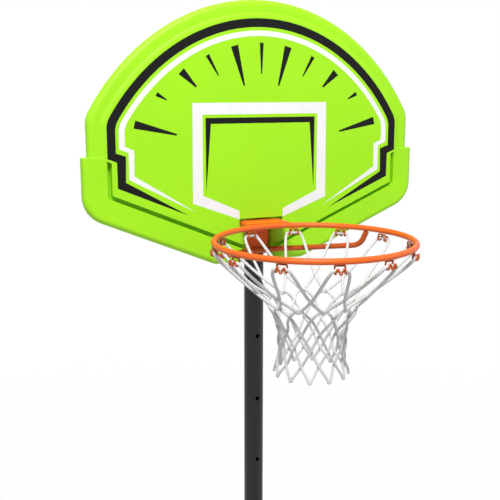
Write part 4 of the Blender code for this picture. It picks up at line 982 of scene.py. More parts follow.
@dataclass
class BoardPrint:
    """The printing on the panel: border stripes, target, its shadow and a burst of rays."""

    at: Anchors
    ink: float = 0.00012
    stripe_side: float = 0.344
    stripe_arch: Place = (0.412, 0.4784, -0.0378)
    stripe_inner_side: float = 0.3262
    stripe_inner_arch: Place = (0.3952, 0.4658, -0.0433)
    white_side: float = 0.3191
    white_arch: Place = (0.3899, 0.4647, -0.0496)
    white_inner_side: float = 0.3070
    white_inner_arch: Place = (0.3801, 0.4577, -0.0537)
    shoulder: float = 0.046
    ray_count: int = 11
    ray_low_angle: float = 14.0
    ray_centre: float = 0.150
    ray_clear: Flat = (0.185, 0.140)
    ray_margin: float = 0.014
    ray_step: float = 0.002
    long_ray: Place = (0.010, 0.0018, 0.0085)
    short_ray: Place = (0.035, 0.0012, 0.0045)

    def over(self, arch: Place, side: float) -> list[Place]:
        """Corners over an arch of two half axes and a centre, from right to left."""
        across, high, centre = arch
        start = math.acos(side / across)
        points = arc((0.0, centre), (across, high), start, math.pi - start, 90)
        return shouldered(points, self.shoulder)

    @staticmethod
    def band(outer: list[Place], outer_right: Sequence[Flat], inner: list[Place],
             inner_right: Sequence[Flat]) -> list[Flat]:
        """A stripe between two arches that tapers to a tip on each side.

        Args:
            outer: corners over the outer arch.
            outer_right: points down the outer right side, ending at the tip.
            inner: corners over the inner arch.
            inner_right: points down the inner right side, short of the tip.

        Returns:
            The stripe's closed outline.
        """
        down_outer = [(x, z, 0.0) for x, z in outer_right]
        down_inner = [(x, z, 0.0) for x, z in inner_right]
        return rounded(down_outer[::-1] + outer + flipped(down_outer[::-1])
                       + flipped(down_inner) + inner[::-1] + down_inner)

    def stripes(self) -> dict[str, list[Flat]]:
        """Outlines of the black and the white border stripe."""
        black = self.band(
            self.over(self.stripe_arch, self.stripe_side),
            [(0.3440, 0.1526), (0.3244, 0.1451), (0.3241, 0.0913), (0.1711, 0.0264)],
            self.over(self.stripe_inner_arch, self.stripe_inner_side),
            [(0.3262, 0.1635), (0.3053, 0.1567), (0.3067, 0.1029)])
        white = self.band(
            self.over(self.white_arch, self.white_side),
            [(0.3191, 0.1715), (0.2995, 0.1640), (0.2995, 0.1080), (0.1540, 0.0322)],
            self.over(self.white_inner_arch, self.white_inner_side),
            [(0.3066, 0.1766), (0.2877, 0.1685), (0.2883, 0.1150)])
        return {"stripe_black": black, "stripe_white": white}

    def target(self) -> list[Flat]:
        """The white target, open over the bracket."""
        right = [(0.0524, 0.0107), (0.1608, 0.0512), (0.1593, 0.2641)]
        inner = [(0.1372, 0.2395), (0.1374, 0.0671), (0.0529, 0.0296)]
        return folded(right, inner)

    def target_shadow(self) -> list[Flat]:
        """The black line inside the target, whose sides taper to a point."""
        right = [(0.1300, 0.0740), (0.1305, 0.2325)]
        inner = [(0.1182, 0.2200)]
        return folded(right, inner)

    def rays(self) -> list[list[Flat]]:
        """Black wedges that spread from the target towards the white stripe."""
        across, high, centre = self.white_inner_arch
        wedges = []
        for index in range(self.ray_count):
            angle = math.radians(self.ray_low_angle
                                 + (180 - 2 * self.ray_low_angle) * index / (self.ray_count - 1))
            way = Vector((math.cos(angle), math.sin(angle)))
            flank = Vector((-way.y, way.x))
            start = Vector((0.0, self.ray_centre))
            reach = min(self.ray_clear[0] / max(abs(way.x), 0.001), self.ray_clear[1] / max(way.y, 0.001))
            setback, thin, thick = self.short_ray if index % 2 else self.long_ray
            near = start + way * (reach + setback)
            while True:
                spot = start + way * (reach + self.ray_step)
                over = ((spot.x / (across - self.ray_margin)) ** 2
                        + ((spot.y - centre) / (high - self.ray_margin)) ** 2)
                if over > 1 or abs(spot.x) > self.white_inner_side - self.ray_margin:
                    break
                reach += self.ray_step
            far = start + way * reach
            wedges.append([tuple(near - flank * thin), tuple(far - flank * thick),
                           tuple(far + flank * thick), tuple(near + flank * thin)])
        return wedges

    def build(self) -> None:
        """Print each shape as a thin layer of ink on the panel."""
        layers = {name: ([loop], BLACK_INK if "black" in name else WHITE_INK)
                  for name, loop in self.stripes().items()}
        layers["target_white"] = ([self.target()], WHITE_INK)
        layers["target_shadow"] = ([self.target_shadow()], BLACK_INK)
        layers["burst_black"] = (self.rays(), BLACK_INK)
        for name, (loops, finish) in layers.items():
            layer = outline(name, loops, -self.ink, 0.0, Facing.FRONT)
            settle(layer, self.at.board())
            dress(layer, finish, MAST, angle=0.0)


# Rim

@dataclass
class Rim:
    """The ring, its folded bracket, the brace rod and the twelve net hooks."""

    at: Anchors
    sheet: float = 0.003
    plate_half_width: float = 0.0495
    plate_bend: float = 0.007
    plate_top: float = 0.0068
    lip_bottom: float = -0.004
    plate_back: float = 0.004
    plate_front: float = -0.0500
    lip_front: float = -0.0465
    channel_half_width: float = 0.0256
    channel_bottom: float = -0.073
    channel_back: float = 0.050
    web_back: float = 0.018475
    brace_drop: float = 0.0635
    brace_seat: float = 0.022
    brace_seat_bend: float = 0.010
    brace_half_span: float = 0.168
    brace_splay: float = 0.148
    brace_corner_drop: float = 0.0378
    brace_bend: float = 0.030
    brace_end_angle: float = 27.5
    brace_tip_gap: float = 0.0010
    hook_wire: float = 0.0017
    hook_half_width: float = 0.0095
    hook_height: float = 0.008
    hook_reach: float = 0.0086
    hook_dip: float = 0.0056
    hook_inset: float = 0.0026
    hook_lobe: float = 0.0048
    hook_bends: Flat = (0.0018, 0.0012)

    def ring(self) -> None:
        """The round rod ring."""
        bpy.ops.object.select_all(action="DESELECT")
        bpy.ops.mesh.primitive_torus_add(
            major_radius=self.at.ring_radius, minor_radius=self.at.rod_radius,
            major_segments=224, minor_segments=24)
        ring = settle(taken("ring"), self.at.ring())
        dress(ring, ORANGE, MAST, "rim_ring", angle=60.0)

    def bracket(self) -> None:
        """The folded top plate with its tongue, and the channel round the pole."""
        sheet = self.sheet
        outer = [(self.plate_half_width, self.lip_bottom, 0.0),
                 (self.plate_half_width, self.plate_top, self.plate_bend)]
        inner = [(self.plate_half_width - sheet, self.plate_top - sheet, self.plate_bend - sheet),
                 (self.plate_half_width - sheet, self.lip_bottom, 0.0)]
        bracket = outline("bracket", [rounded(folded(outer, inner))], self.plate_front,
                          self.web_back - 0.0004, Facing.FRONT)
        over = 0.01
        trims = ((self.plate_half_width - self.plate_bend, self.plate_front - over, self.lip_front),
                 (self.channel_half_width - sheet, self.plate_back, self.web_back + over))
        for side in (-1, 1):
            far = side * (self.plate_half_width + over)
            for inset, front, back in trims:
                near = side * inset
                combine(bracket, block("trim", (min(near, far), front, -over),
                                       (max(near, far), back, self.plate_top + over)))
        half = self.channel_half_width
        web_front = self.web_back - sheet
        outer = [(half, self.channel_back, 0.0), (half, web_front, sheet + 0.001)]
        inner = [(half - sheet, self.web_back, 0.001), (half - sheet, self.channel_back, 0.0)]
        channel = outline("channel", [rounded(folded(outer, inner))],
                          self.channel_bottom, self.plate_top - sheet / 2)
        combine(bracket, channel, Join.WELD)
        for drop in RIM_BOLT_DROPS:
            drill(bracket, BOLT_HOLE, (-half - over, BOARD_TO_POLE, -drop), 2 * (half + over),
                  Facing.SIDE, 32)
        soften(bracket, 0.0005, 2, 50.0)
        settle(bracket, self.at.board())
        dress(bracket, ORANGE, MAST, "rim_bracket")

    def brace(self) -> None:
        """The bent rod from the foot of the bracket, forward and up to the ring's underside."""
        rod = self.at.rod_radius
        angle = math.radians(self.brace_end_angle)
        ring = self.at.ring_y - self.at.board_y
        seat = self.web_back - self.sheet - rod - CLEARANCE
        end = (self.at.ring_radius * math.cos(angle), ring + self.at.ring_radius * math.sin(angle),
               -rod - self.brace_tip_gap, 0.0)
        side = bent([
            (0.0, seat, -self.brace_drop, 0.0),
            (self.brace_seat, seat, -self.brace_drop, self.brace_seat_bend),
            (self.brace_half_span, -self.brace_splay, -self.brace_corner_drop, self.brace_bend),
            end], steps=16)
        brace = rod_along("brace", flipped(side[1:]) + side, rod, sides=24)
        soften(brace, 0.0012, 3, 60.0)
        settle(brace, self.at.board())
        # The darker orange copy paints shade onto the brace rod
        dress(brace, ORANGE_PAINTED_SHADE, MAST, "brace_rod", angle=60.0)

    def hook(self) -> Piece:
        """One hook in its own frame: X across, Y outwards, hung from the ring's underside."""
        top = -self.at.rod_radius - self.hook_wire - CLEARANCE
        low = top - self.hook_height - self.hook_dip
        half, reach, lobe = self.hook_half_width, self.hook_reach, top - self.hook_lobe
        wide, tight = self.hook_bends
        run = bent([
            (0.0, 0.0, top, 0.0), (half, 0.0, top, wide), (half, 0.0, low, wide), (half, reach, low, wide),
            (half * 0.78, reach, lobe, tight), (half * 0.52, reach, lobe, tight),
            (half * 0.14, reach, low - 0.0008, 0.0010), (0.0, reach, low - 0.0010, 0.0)], steps=5)
        return rod_along("hook", flipped(run[1:]) + run[:-1], self.hook_wire, loop=True, sides=12)

    def hooks(self) -> None:
        """Model one hook and copy it round the ring."""
        first = self.hook()
        reach = self.at.ring_radius - self.hook_inset
        for index in range(HOOK_COUNT):
            angle = math.radians(HOOK_FIRST_ANGLE + index * 360.0 / HOOK_COUNT)
            place = Matrix.Translation((reach * math.cos(angle), reach * math.sin(angle), 0.0))
            turn = Matrix.Rotation(angle - math.pi / 2, 4, "Z")
            hook = copied(first, f"hook_{index + 1:02d}", self.at.ring() @ place @ turn)
            # The darker orange copy paints shade onto each hook
            dress(hook, ORANGE_PAINTED_SHADE, MAST, f"net_hook_{index + 1:02d}", angle=60.0)
        bpy.data.objects.remove(first, do_unlink=True)

    def build(self) -> None:
        """Model and dress the whole rim."""
        self.ring()
        self.bracket()
        self.brace()
        self.hooks()


@dataclass
class Net:
    """The cord net: twelve looped cords from the hooks, clasped by a woven lower web."""

    at: Anchors
    upper_cord: float = 0.0031
    lower_cord: float = 0.0027
    weave: float = 0.0024
    hook_reach: float = 0.1988
    seat: float = -0.0166
    loop_run: tuple[Place, ...] = ((0.006, 0.0, 0.0), (0.0128, 0.0, 0.0), (0.0172, -0.0035, -0.0065))
    crossing: Flat = (0.121, -0.0925)
    crossing_bend: Place = (0.0945, -0.1165, 0.14)
    clasp: Flat = (0.0900, -0.1205)
    clasp_depth: float = 0.0026
    row_bend: Place = (0.0885, -0.1245, 0.24)
    rows: tuple[Flat, ...] = ((0.083, -0.138), (0.068, -0.172), (0.0655, -0.204), (0.0665, -0.236))
    tip: Flat = (0.075, -0.267)
    sway: float = -0.0032

    def spot(self, radius: float, height: float, turns: float) -> Vector:
        """A point by radius, height and place round the net in hook spacings."""
        angle = math.radians(HOOK_FIRST_ANGLE + turns * 360.0 / HOOK_COUNT)
        return Vector((radius * math.cos(angle) + self.sway * height / self.tip[1],
                       radius * math.sin(angle), height))

    def in_hook(self, index: int, across: float, out: float, fall: float) -> Vector:
        """A point of the cord where it lies in a hook."""
        angle = math.radians(HOOK_FIRST_ANGLE + index * 360.0 / HOOK_COUNT)
        reach = self.hook_reach + out
        return Vector((reach * math.cos(angle) - across * math.sin(angle),
                       reach * math.sin(angle) + across * math.cos(angle), self.seat + fall))

    def upper_path(self, first: int) -> list[Vector]:
        """One closed cord that hangs in every second hook."""
        points: list[Vector] = []
        for hook in range(first, first + HOOK_COUNT, 2):
            for across, out, fall in reversed(self.loop_run):
                points.append(self.in_hook(hook, -across, out, fall))
            for across, out, fall in self.loop_run:
                points.append(self.in_hook(hook, across, out, fall))
            bend_radius, bend_height, bend_turn = self.crossing_bend
            points.append(self.spot(self.crossing[0] + self.weave, self.crossing[1], hook + 0.5))
            points.append(self.spot(bend_radius + self.weave, bend_height, hook + 1 - bend_turn))
            points.append(self.spot(self.clasp[0], self.clasp[1] - self.clasp_depth, hook + 1))
            points.append(self.spot(bend_radius - self.weave, bend_height, hook + 1 + bend_turn))
            points.append(self.spot(self.crossing[0] - self.weave, self.crossing[1], hook + 1.5))
        return points

    def lower_path(self) -> list[Vector]:
        """The single closed cord of the lower web, from clasp to tip and up again."""
        points: list[Vector] = []
        bend_radius, bend_height, bend_turn = self.row_bend
        place = 0.0
        for _ in range(HOOK_COUNT):
            points.append(self.spot(self.clasp[0], self.clasp[1] + self.clasp_depth, place))
            points.append(self.spot(bend_radius + self.weave, bend_height, place + bend_turn))
            side = -1.0
            for row, (radius, height) in enumerate(self.rows):
                points.append(self.spot(radius + side * self.weave, height, place + 0.5 * (row + 1)))
                side = -side
            middle = place + 0.5 * (len(self.rows) + 1)
            points.append(self.spot(self.tip[0] - 0.0012, self.tip[1] + 0.007, middle - 0.10))
            points.append(self.spot(self.tip[0], self.tip[1], middle))
            points.append(self.spot(self.tip[0] - 0.0012, self.tip[1] + 0.007, middle + 0.10))
            for row, (radius, height) in reversed(list(enumerate(self.rows))):
                side = -side
                points.append(self.spot(radius - side * self.weave, height,
                                        middle + 0.5 * (len(self.rows) - row)))
            place = middle + 0.5 * (len(self.rows) + 1)
            points.append(self.spot(bend_radius - self.weave, bend_height, place - bend_turn))
        return points

    def build(self) -> None:
        """Model the cords and dress the net."""
        cords = [rod_along("cord", self.upper_path(first), self.upper_cord, loop=True, smooth=True, sides=12)
                 for first in (0, 1)]
        cords.append(rod_along("cord", self.lower_path(), self.lower_cord, loop=True, smooth=True, sides=12))
        net = merge("cord_net", cords)
        settle(net, self.at.ring())
        dress(net, CORD, MAST, "net", angle=80.0)


# Fasteners

@dataclass
class Fasteners:
    """Zinc-plated hex bolts, nuts and washer-head screws."""

    head_radius: float = 0.0072
    head: float = 0.005
    nut: float = 0.006
    pitch: float = 0.00125
    thread_depth: float = 0.0005
    threaded: float = 0.012
    screw_radius: float = 0.0025
    screw_length: float = 0.014
    screw_head: float = 0.004
    screw_flange: float = 0.006
    sharp: float = 25.0

    def hexagon(self, name: str, low: float, high: float, radius: float) -> Piece:
        """A six-sided block with chamfered corners, along Z."""
        chamfer = radius * 0.10
        return turned(name, [(radius - chamfer, low), (radius, low + chamfer * 0.6),
                             (radius, high - chamfer * 0.6), (radius - chamfer, high)], sides=6)

    def fit(self, piece: Piece, name: str, place: Place, body: str, side: int) -> None:
        """Put a bolt or nut in its place along X, two of its corners up and down, and dress it.

        Args:
            piece: the bolt or nut in its own frame.
            name: the CAD node that it stands for.
            place: where its own middle comes.
            body: the body that it moves with.
            side: 1 where it points to +X, -1 where it points to -X.
        """
        piece.name = f"{name}_steel"
        turn = Matrix.Rotation(0.0 if side > 0 else math.pi, 4, "Z")
        sixth = Matrix.Rotation(math.pi / 6, 4, "Z")
        settle(piece, Matrix.Translation(place) @ turn @ Facing.SIDE.value @ sixth)
        dress(piece, ZINC, body, name, angle=self.sharp)

    def thread(self, radius: float, start: float, end: float) -> list[Flat]:
        """Stations of a thread's ridges along a shank."""
        ridges: list[Flat] = []
        height = start
        while height + self.pitch < end:
            ridges += [(radius - self.thread_depth, height), (radius, height + self.pitch / 2)]
            height += self.pitch
        return ridges + [(radius - self.thread_depth, end - 0.0006), (radius - 0.0012, end)]

    def bolt(self, name: str, place: Place, length: float, body: str, side: int = 1) -> None:
        """Model a hex bolt along X and dress it.

        Args:
            name: the CAD node that it stands for.
            place: the middle of the face under its head.
            length: length of its shank.
            body: the body that it moves with.
            side: 1 where the shank runs to +X, -1 where it runs to -X.
        """
        head = self.hexagon(name, -self.head, 0.0, self.head_radius)
        start = max(0.0, length - self.threaded)
        shank = turned("shank", [(BOLT_RADIUS, -0.001), (BOLT_RADIUS, start)]
                       + self.thread(BOLT_RADIUS, start + 0.0003, length), sides=28)
        combine(head, shank, Join.WELD)
        self.fit(head, name, place, body, side)

    def nut_on(self, name: str, place: Place, body: str, side: int = 1) -> None:
        """Model a hex nut on an X bolt and dress it.

        Args:
            name: the CAD node that it stands for.
            place: the middle of the face that it bears on.
            body: the body that it moves with.
            side: 1 where it lies on the +X side of that face, -1 on the other.
        """
        nut = self.hexagon(name, 0.0, self.nut, self.head_radius)
        drill(nut, BOLT_RADIUS + CLEARANCE, (0.0, 0.0, -0.002), self.nut + 0.004, Facing.UP, 28)
        self.fit(nut, name, place, body, side)

    def screw(self, name: str, place: Place, body: str) -> None:
        """Model a washer-head screw that points at the board's back, and dress it."""
        flange = turned(name, [
            (self.screw_radius, -0.0002), (self.screw_flange, 0.0), (self.screw_flange, 0.0006),
            (self.screw_flange * 0.86, 0.0011), (self.screw_flange * 0.6, 0.0011)], sides=32)
        head = self.hexagon("head", 0.0005, self.screw_head, self.screw_flange * 0.8)
        combine(flange, head, Join.WELD)
        ridges = self.thread(self.screw_radius, 0.0015, self.screw_length - 0.002)
        shank = turned("shank", [
            (self.screw_radius, 0.001), (self.screw_radius, -0.001),
            *((radius, -height) for radius, height in ridges), (0.0003, -self.screw_length)], sides=20)
        combine(flange, shank, Join.WELD)
        flange.name = f"{name}_steel"
        settle(flange, Matrix.Translation(place) @ Matrix.Rotation(-math.pi / 2, 4, "X"))
        dress(flange, ZINC, body, name, angle=self.sharp)


# Poles

@dataclass
class Mast:
    """The sliding pole with its holes, cap and guide bush, the board straps and the cross bolts."""

    at: Anchors
    fasteners: Fasteners
    radius: float = 0.022225
    wall: float = 0.0015
    lower_bore: float = 0.0238
    hole_radius: float = 0.005
    first_hole: float = 0.269
    hole_pitch: float = 0.1524
    hole_count: int = 5
    bracket_half: float = 0.0256
    edge: float = 0.0004
    cap_spigot: float = 0.020
    cap_height: float = 0.006
    bush_spigot: float = 0.025
    bush_flange: float = 0.012
    bush_bore: float = 0.012
    strap_heights: Flat = (0.265, 0.115)
    strap_width: float = 0.030
    strap_sheet: float = 0.0025
    strap_half: float = 0.060
    strap_bend: float = 0.003
    strap_hole: float = 0.0465
    board_back: float = 0.030

    def pole(self) -> None:
        """The tube, with its row of holes in front and the cross holes of the rim bolts."""
        low, high = (corner[2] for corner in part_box("upper_pole"))
        tube = tube_stations(self.radius, self.radius - self.wall, low, high, self.edge)
        pole = turned("sliding_pole", tube, sides=96, place=self.at.pole(), hollow=True)
        for index in range(self.hole_count):
            height = self.at.rim_z - self.first_hole - index * self.hole_pitch
            drill(pole, self.hole_radius, self.at.pole(height), 0.04, Facing.FRONT)
        for drop in RIM_BOLT_DROPS:
            drill(pole, BOLT_HOLE, (-0.04, self.at.pole_y, self.at.rim_z - drop), 0.08, Facing.SIDE)
        dress(pole, BLACK_TUBE, MAST, "upper_pole")

    def cap(self) -> None:
        """The domed cap on the pole's top, with its ribbed spigot."""
        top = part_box("upper_pole")[1][2]
        seat = top + CLEARANCE
        spigot = self.radius - self.wall - CLEARANCE
        ribs: list[Flat] = []
        for rib in range(4):
            height = top - self.cap_spigot + 0.002 + rib * 0.0045
            ribs += [(spigot - 0.0008, height), (spigot, height + 0.0008), (spigot, height + 0.0024),
                     (spigot - 0.0008, height + 0.0032)]
        dome = arc((0.0, seat + 0.002), (self.radius, self.cap_height - 0.002),
                   0.0, math.pi / 2 - 0.02, 12)
        cap = turned("pole_end_cap", [
            (spigot - 0.0012, top - self.cap_spigot), *ribs, (spigot - 0.0008, seat),
            (self.radius - 0.0004, seat), (self.radius, seat + 0.0004), *dome],
            sides=72, place=self.at.pole())
        dress(cap, BLACK_FITTING, MAST, "pole_cap")

    def bush(self) -> None:
        """The plug bush at the pole's lower end, which slides in the middle pole."""
        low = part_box("upper_pole")[0][2]
        spigot = self.radius - self.wall - CLEARANCE
        slide = self.lower_bore - CLEARANCE
        seat = low - CLEARANCE
        top, foot = low + self.bush_spigot, seat - self.bush_flange
        bush = turned("slide_bush", [
            (spigot - 0.001, top), (spigot, top - 0.002), (spigot, seat), (slide - 0.0006, seat),
            (slide, seat - 0.0008), (slide, foot + 0.002), (slide - 0.002, foot),
            (self.bush_bore + 0.001, foot), (self.bush_bore, foot + 0.001), (self.bush_bore, top)],
            sides=72, place=self.at.pole(), hollow=True)
        dress(bush, BLACK_FITTING, MAST, "guide_bush")

    def straps(self) -> None:
        """The two straps round the pole's back, and their four screws."""
        inner = self.radius + CLEARANCE
        outer = inner + self.strap_sheet
        front = self.board_back + CLEARANCE - BOARD_TO_POLE
        back = front + self.strap_sheet
        right = [(self.strap_half, front, 0.0), (self.strap_half, back, 0.0), (outer, back, self.strap_bend)]
        around = [(x, y, 0.0) for x, y in arc((0.0, 0.0), (outer, outer), 0.0, math.pi, 40)]
        within = [(x, y, 0.0) for x, y in arc((0.0, 0.0), (inner, inner), math.pi, 0.0, 40)]
        corners = [*right, *around, *flipped(right), (-inner, front, 0.0), *within, (inner, front, 0.0)]
        for number, (name, height) in enumerate(zip(("board_strap_upper", "board_strap_lower"),
                                                    self.strap_heights)):
            middle = self.at.rim_z + height
            strap = outline(f"{name}_steel", [rounded(corners, 5)], middle - self.strap_width / 2,
                            middle + self.strap_width / 2)
            settle(strap, Matrix.Translation(self.at.pole()))
            for index, side in enumerate((-1, 1)):
                x = side * self.strap_hole
                drill(strap, self.fasteners.screw_radius + CLEARANCE,
                      (x, self.at.pole_y + back + 0.002, middle), 0.01, Facing.FRONT, 28)
                self.fasteners.screw(f"strap_screw_{2 * number + index + 1}",
                                     (x, self.at.pole_y + back + CLEARANCE, middle), MAST)
            soften(strap, 0.0005, 2, 60.0)
            dress(strap, BLACK_TUBE, MAST, name)

    def bolts(self) -> None:
        """The two cross bolts through bracket and pole, with their nuts."""
        half = self.bracket_half + CLEARANCE
        for name, drop in zip(("upper", "lower"), RIM_BOLT_DROPS):
            height = self.at.rim_z - drop
            self.fasteners.bolt(f"rim_bolt_{name}", (-half, self.at.pole_y, height),
                                2 * half + self.fasteners.nut + 0.003, MAST)
            self.fasteners.nut_on(f"rim_nut_{name}", (half, self.at.pole_y, height), MAST)

    def build(self) -> None:
        """Model and dress the mast."""
        self.pole()
        self.cap()
        self.bush()
        self.straps()
        self.bolts()


@dataclass
class HeightLock:
    """The welded housing on the middle pole, the lock pin and its lobed knob."""

    at: Anchors
    pin_radius: float = 0.004
    housing_radius: float = 0.010
    bead: float = 0.0007
    knob_radius: float = 0.020
    knob_lobes: int = 5
    knob_hub: float = 0.011
    blind: float = 0.006

    def housing(self) -> None:
        """The turned housing with the bead of its weld."""
        low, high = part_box("pin_housing")
        middle = middle_of(low, high)[2]
        face = self.at.pole_y - low[1]
        radius, bead = self.housing_radius, self.bead
        housing = turned("lock_housing", [
            (radius + bead, 0.020), (radius + bead, OUTER_POLE + 0.0004),
            (radius + bead * 0.6, OUTER_POLE + 0.0014), (radius, OUTER_POLE + 0.0018),
            (radius, face - 0.0008), (radius - 0.0008, face)], 48, Facing.FRONT,
            self.at.pole(middle))
        combine(housing, turned("saddle", [
            (OUTER_POLE + CLEARANCE, middle - 0.05),
            (OUTER_POLE + CLEARANCE, middle + 0.05)], 96, place=self.at.pole()))
        drill(housing, self.pin_radius + CLEARANCE, self.at.pole(middle), 0.06, Facing.FRONT)
        dress(housing, BLACK_TUBE, STAND, "pin_housing")

    def pin(self) -> None:
        """The steel pin with a tapered nose."""
        low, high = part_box("height_pin")
        middle = middle_of(low, high)[2]
        tip, end = self.at.pole_y - high[1], self.at.pole_y - low[1]
        radius = self.pin_radius
        pin = turned("lock_pin_steel", [
            (radius * 0.62, tip), (radius * 0.72, tip + 0.0002), (radius - 0.0002, tip + 0.0015),
            (radius, tip + 0.0019), (radius, end - 0.0004), (radius - 0.0004, end)], 40, Facing.FRONT,
            self.at.pole(middle))
        dress(pin, ZINC, LOCK_PIN, "height_pin")

    def knob(self) -> None:
        """The lobed knob with a hub behind and a dished front."""
        low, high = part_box("pin_knob")
        middle = middle_of(low, high)[2]
        loop: list[Flat] = []
        for step in range(self.knob_lobes * 16):
            angle = 2 * math.pi * step / (self.knob_lobes * 16)
            radius = self.knob_radius * (0.90 + 0.10 * math.cos(self.knob_lobes * angle))
            loop.append((radius * math.cos(angle), middle + radius * math.sin(angle)))
        knob = outline("lock_knob", [loop], low[1], high[1], Facing.FRONT, 0.003, 5)
        front = self.at.pole_y - low[1]
        dish = turned("dish", [
            (0.009, front - 0.0012), (0.0125, front - 0.0004), (0.0150, front + 0.001)],
            64, Facing.FRONT, self.at.pole(middle))
        combine(knob, dish)
        back = self.at.pole_y - high[1]
        drill(knob, self.pin_radius + CLEARANCE, self.at.pole(middle), front - self.blind, Facing.FRONT)
        hub, step_out = self.knob_hub, self.knob_hub + 0.0035
        ring = turned("ring", [
            (hub, back - 0.001), (hub, back + 0.0012), (step_out, back + 0.0012), (step_out, back - 0.001)],
            64, Facing.FRONT, self.at.pole(middle), hollow=True)
        combine(knob, ring)
        dress(knob, BLACK_FITTING, LOCK_PIN, "pin_knob")

    def build(self) -> None:
        """Model and dress the height lock."""
        self.housing()
        self.pin()
        self.knob()


@dataclass
class LowerPoles:
    """The tube in the base, the necked middle tube on it, and the collar at its top."""

    at: Anchors
    wall: float = 0.0016
    slide: float = 0.022525
    neck_length: float = 0.080
    neck_taper: float = 0.008
    edge: float = 0.0004
    axle_hole: float = 0.0053
    pin_hole: float = 0.005
    collar_radius: float = 0.031
    collar_rise: float = 0.007
    collar_skirt: float = 0.008
    liner_length: float = 0.060

    def bottom(self) -> None:
        """The bottom tube with the cross holes of axle and strut bolt."""
        low, high = (corner[2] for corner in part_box("bottom_pole"))
        inner, edge = OUTER_POLE - self.wall, self.edge
        tube = turned("base_tube", [
            (OUTER_POLE, low + edge), (OUTER_POLE - edge, low), (inner, low), (inner, high - edge),
            (inner + edge, high), (OUTER_POLE - edge, high), (OUTER_POLE, high - edge)],
            sides=96, place=self.at.pole(), hollow=True)
        for height, radius in ((AXLE_HEIGHT, self.axle_hole), (STRUT_HEIGHT, BOLT_HOLE)):
            drill(tube, radius, (-0.04, self.at.pole_y, height), 0.08, Facing.SIDE)
        dress(tube, BLACK_TUBE, STAND, "bottom_pole")

    def middle(self) -> None:
        """The middle tube, swaged to a neck at its foot."""
        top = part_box("middle_pole")[1][2]
        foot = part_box("middle_pole")[0][2]
        shoulder = foot + self.neck_length + CLEARANCE
        bore = OUTER_POLE - self.wall
        neck = bore - CLEARANCE
        swage = [(neck + (OUTER_POLE - neck) * (0.5 - 0.5 * math.cos(math.pi * step / 8)),
                  shoulder + self.neck_taper * step / 8) for step in range(9)]
        tube = turned("outer_tube", [
            (neck - self.edge, foot), (neck, foot + self.edge)] + swage + [
            (OUTER_POLE, top - self.edge), (OUTER_POLE - self.edge, top), (bore + self.edge, top),
            (bore, top - self.edge), (bore, shoulder + self.neck_taper + 0.001),
            (neck - self.wall, shoulder), (neck - self.wall, foot)],
            sides=96, place=self.at.pole(), hollow=True)
        pin_low, pin_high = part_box("height_pin")
        height = middle_of(pin_low, pin_high)[2]
        drill(tube, self.pin_hole, self.at.pole(height), 0.04, Facing.FRONT)
        dress(tube, BLACK_TUBE, STAND, "middle_pole")
        self.collar(top, height)

    def collar(self, top: float, pin_height: float) -> None:
        """The plastic liner and collar at the middle tube's top.

        Args:
            top: height of the tube's top.
            pin_height: height of the lock pin, which passes the liner.
        """
        seat = top + CLEARANCE
        crown = seat + self.collar_rise
        liner = OUTER_POLE - self.wall - CLEARANCE
        outer = OUTER_POLE + CLEARANCE
        rim, skirt, foot = self.collar_radius, top - self.collar_skirt, top - self.liner_length
        collar = turned("slide_collar", [
            (self.slide + 0.0016, crown), (rim - 0.0040, crown), (rim - 0.0016, crown - 0.0006),
            (rim - 0.0004, crown - 0.0020), (rim, crown - 0.0038), (rim, skirt + 0.0008),
            (rim - 0.0008, skirt), (outer, skirt), (outer, seat), (liner, seat), (liner, foot + 0.001),
            (liner - 0.0004, foot), (self.slide, foot), (self.slide, crown - 0.0020)],
            sides=96, place=self.at.pole(), hollow=True)
        drill(collar, self.pin_hole, self.at.pole(pin_height), 0.04, Facing.FRONT)
        dress(collar, BLACK_FITTING, STAND, "pole_collar")

    def build(self) -> None:
        """Model and dress the lower poles."""
        self.bottom()
        self.middle()


# Base

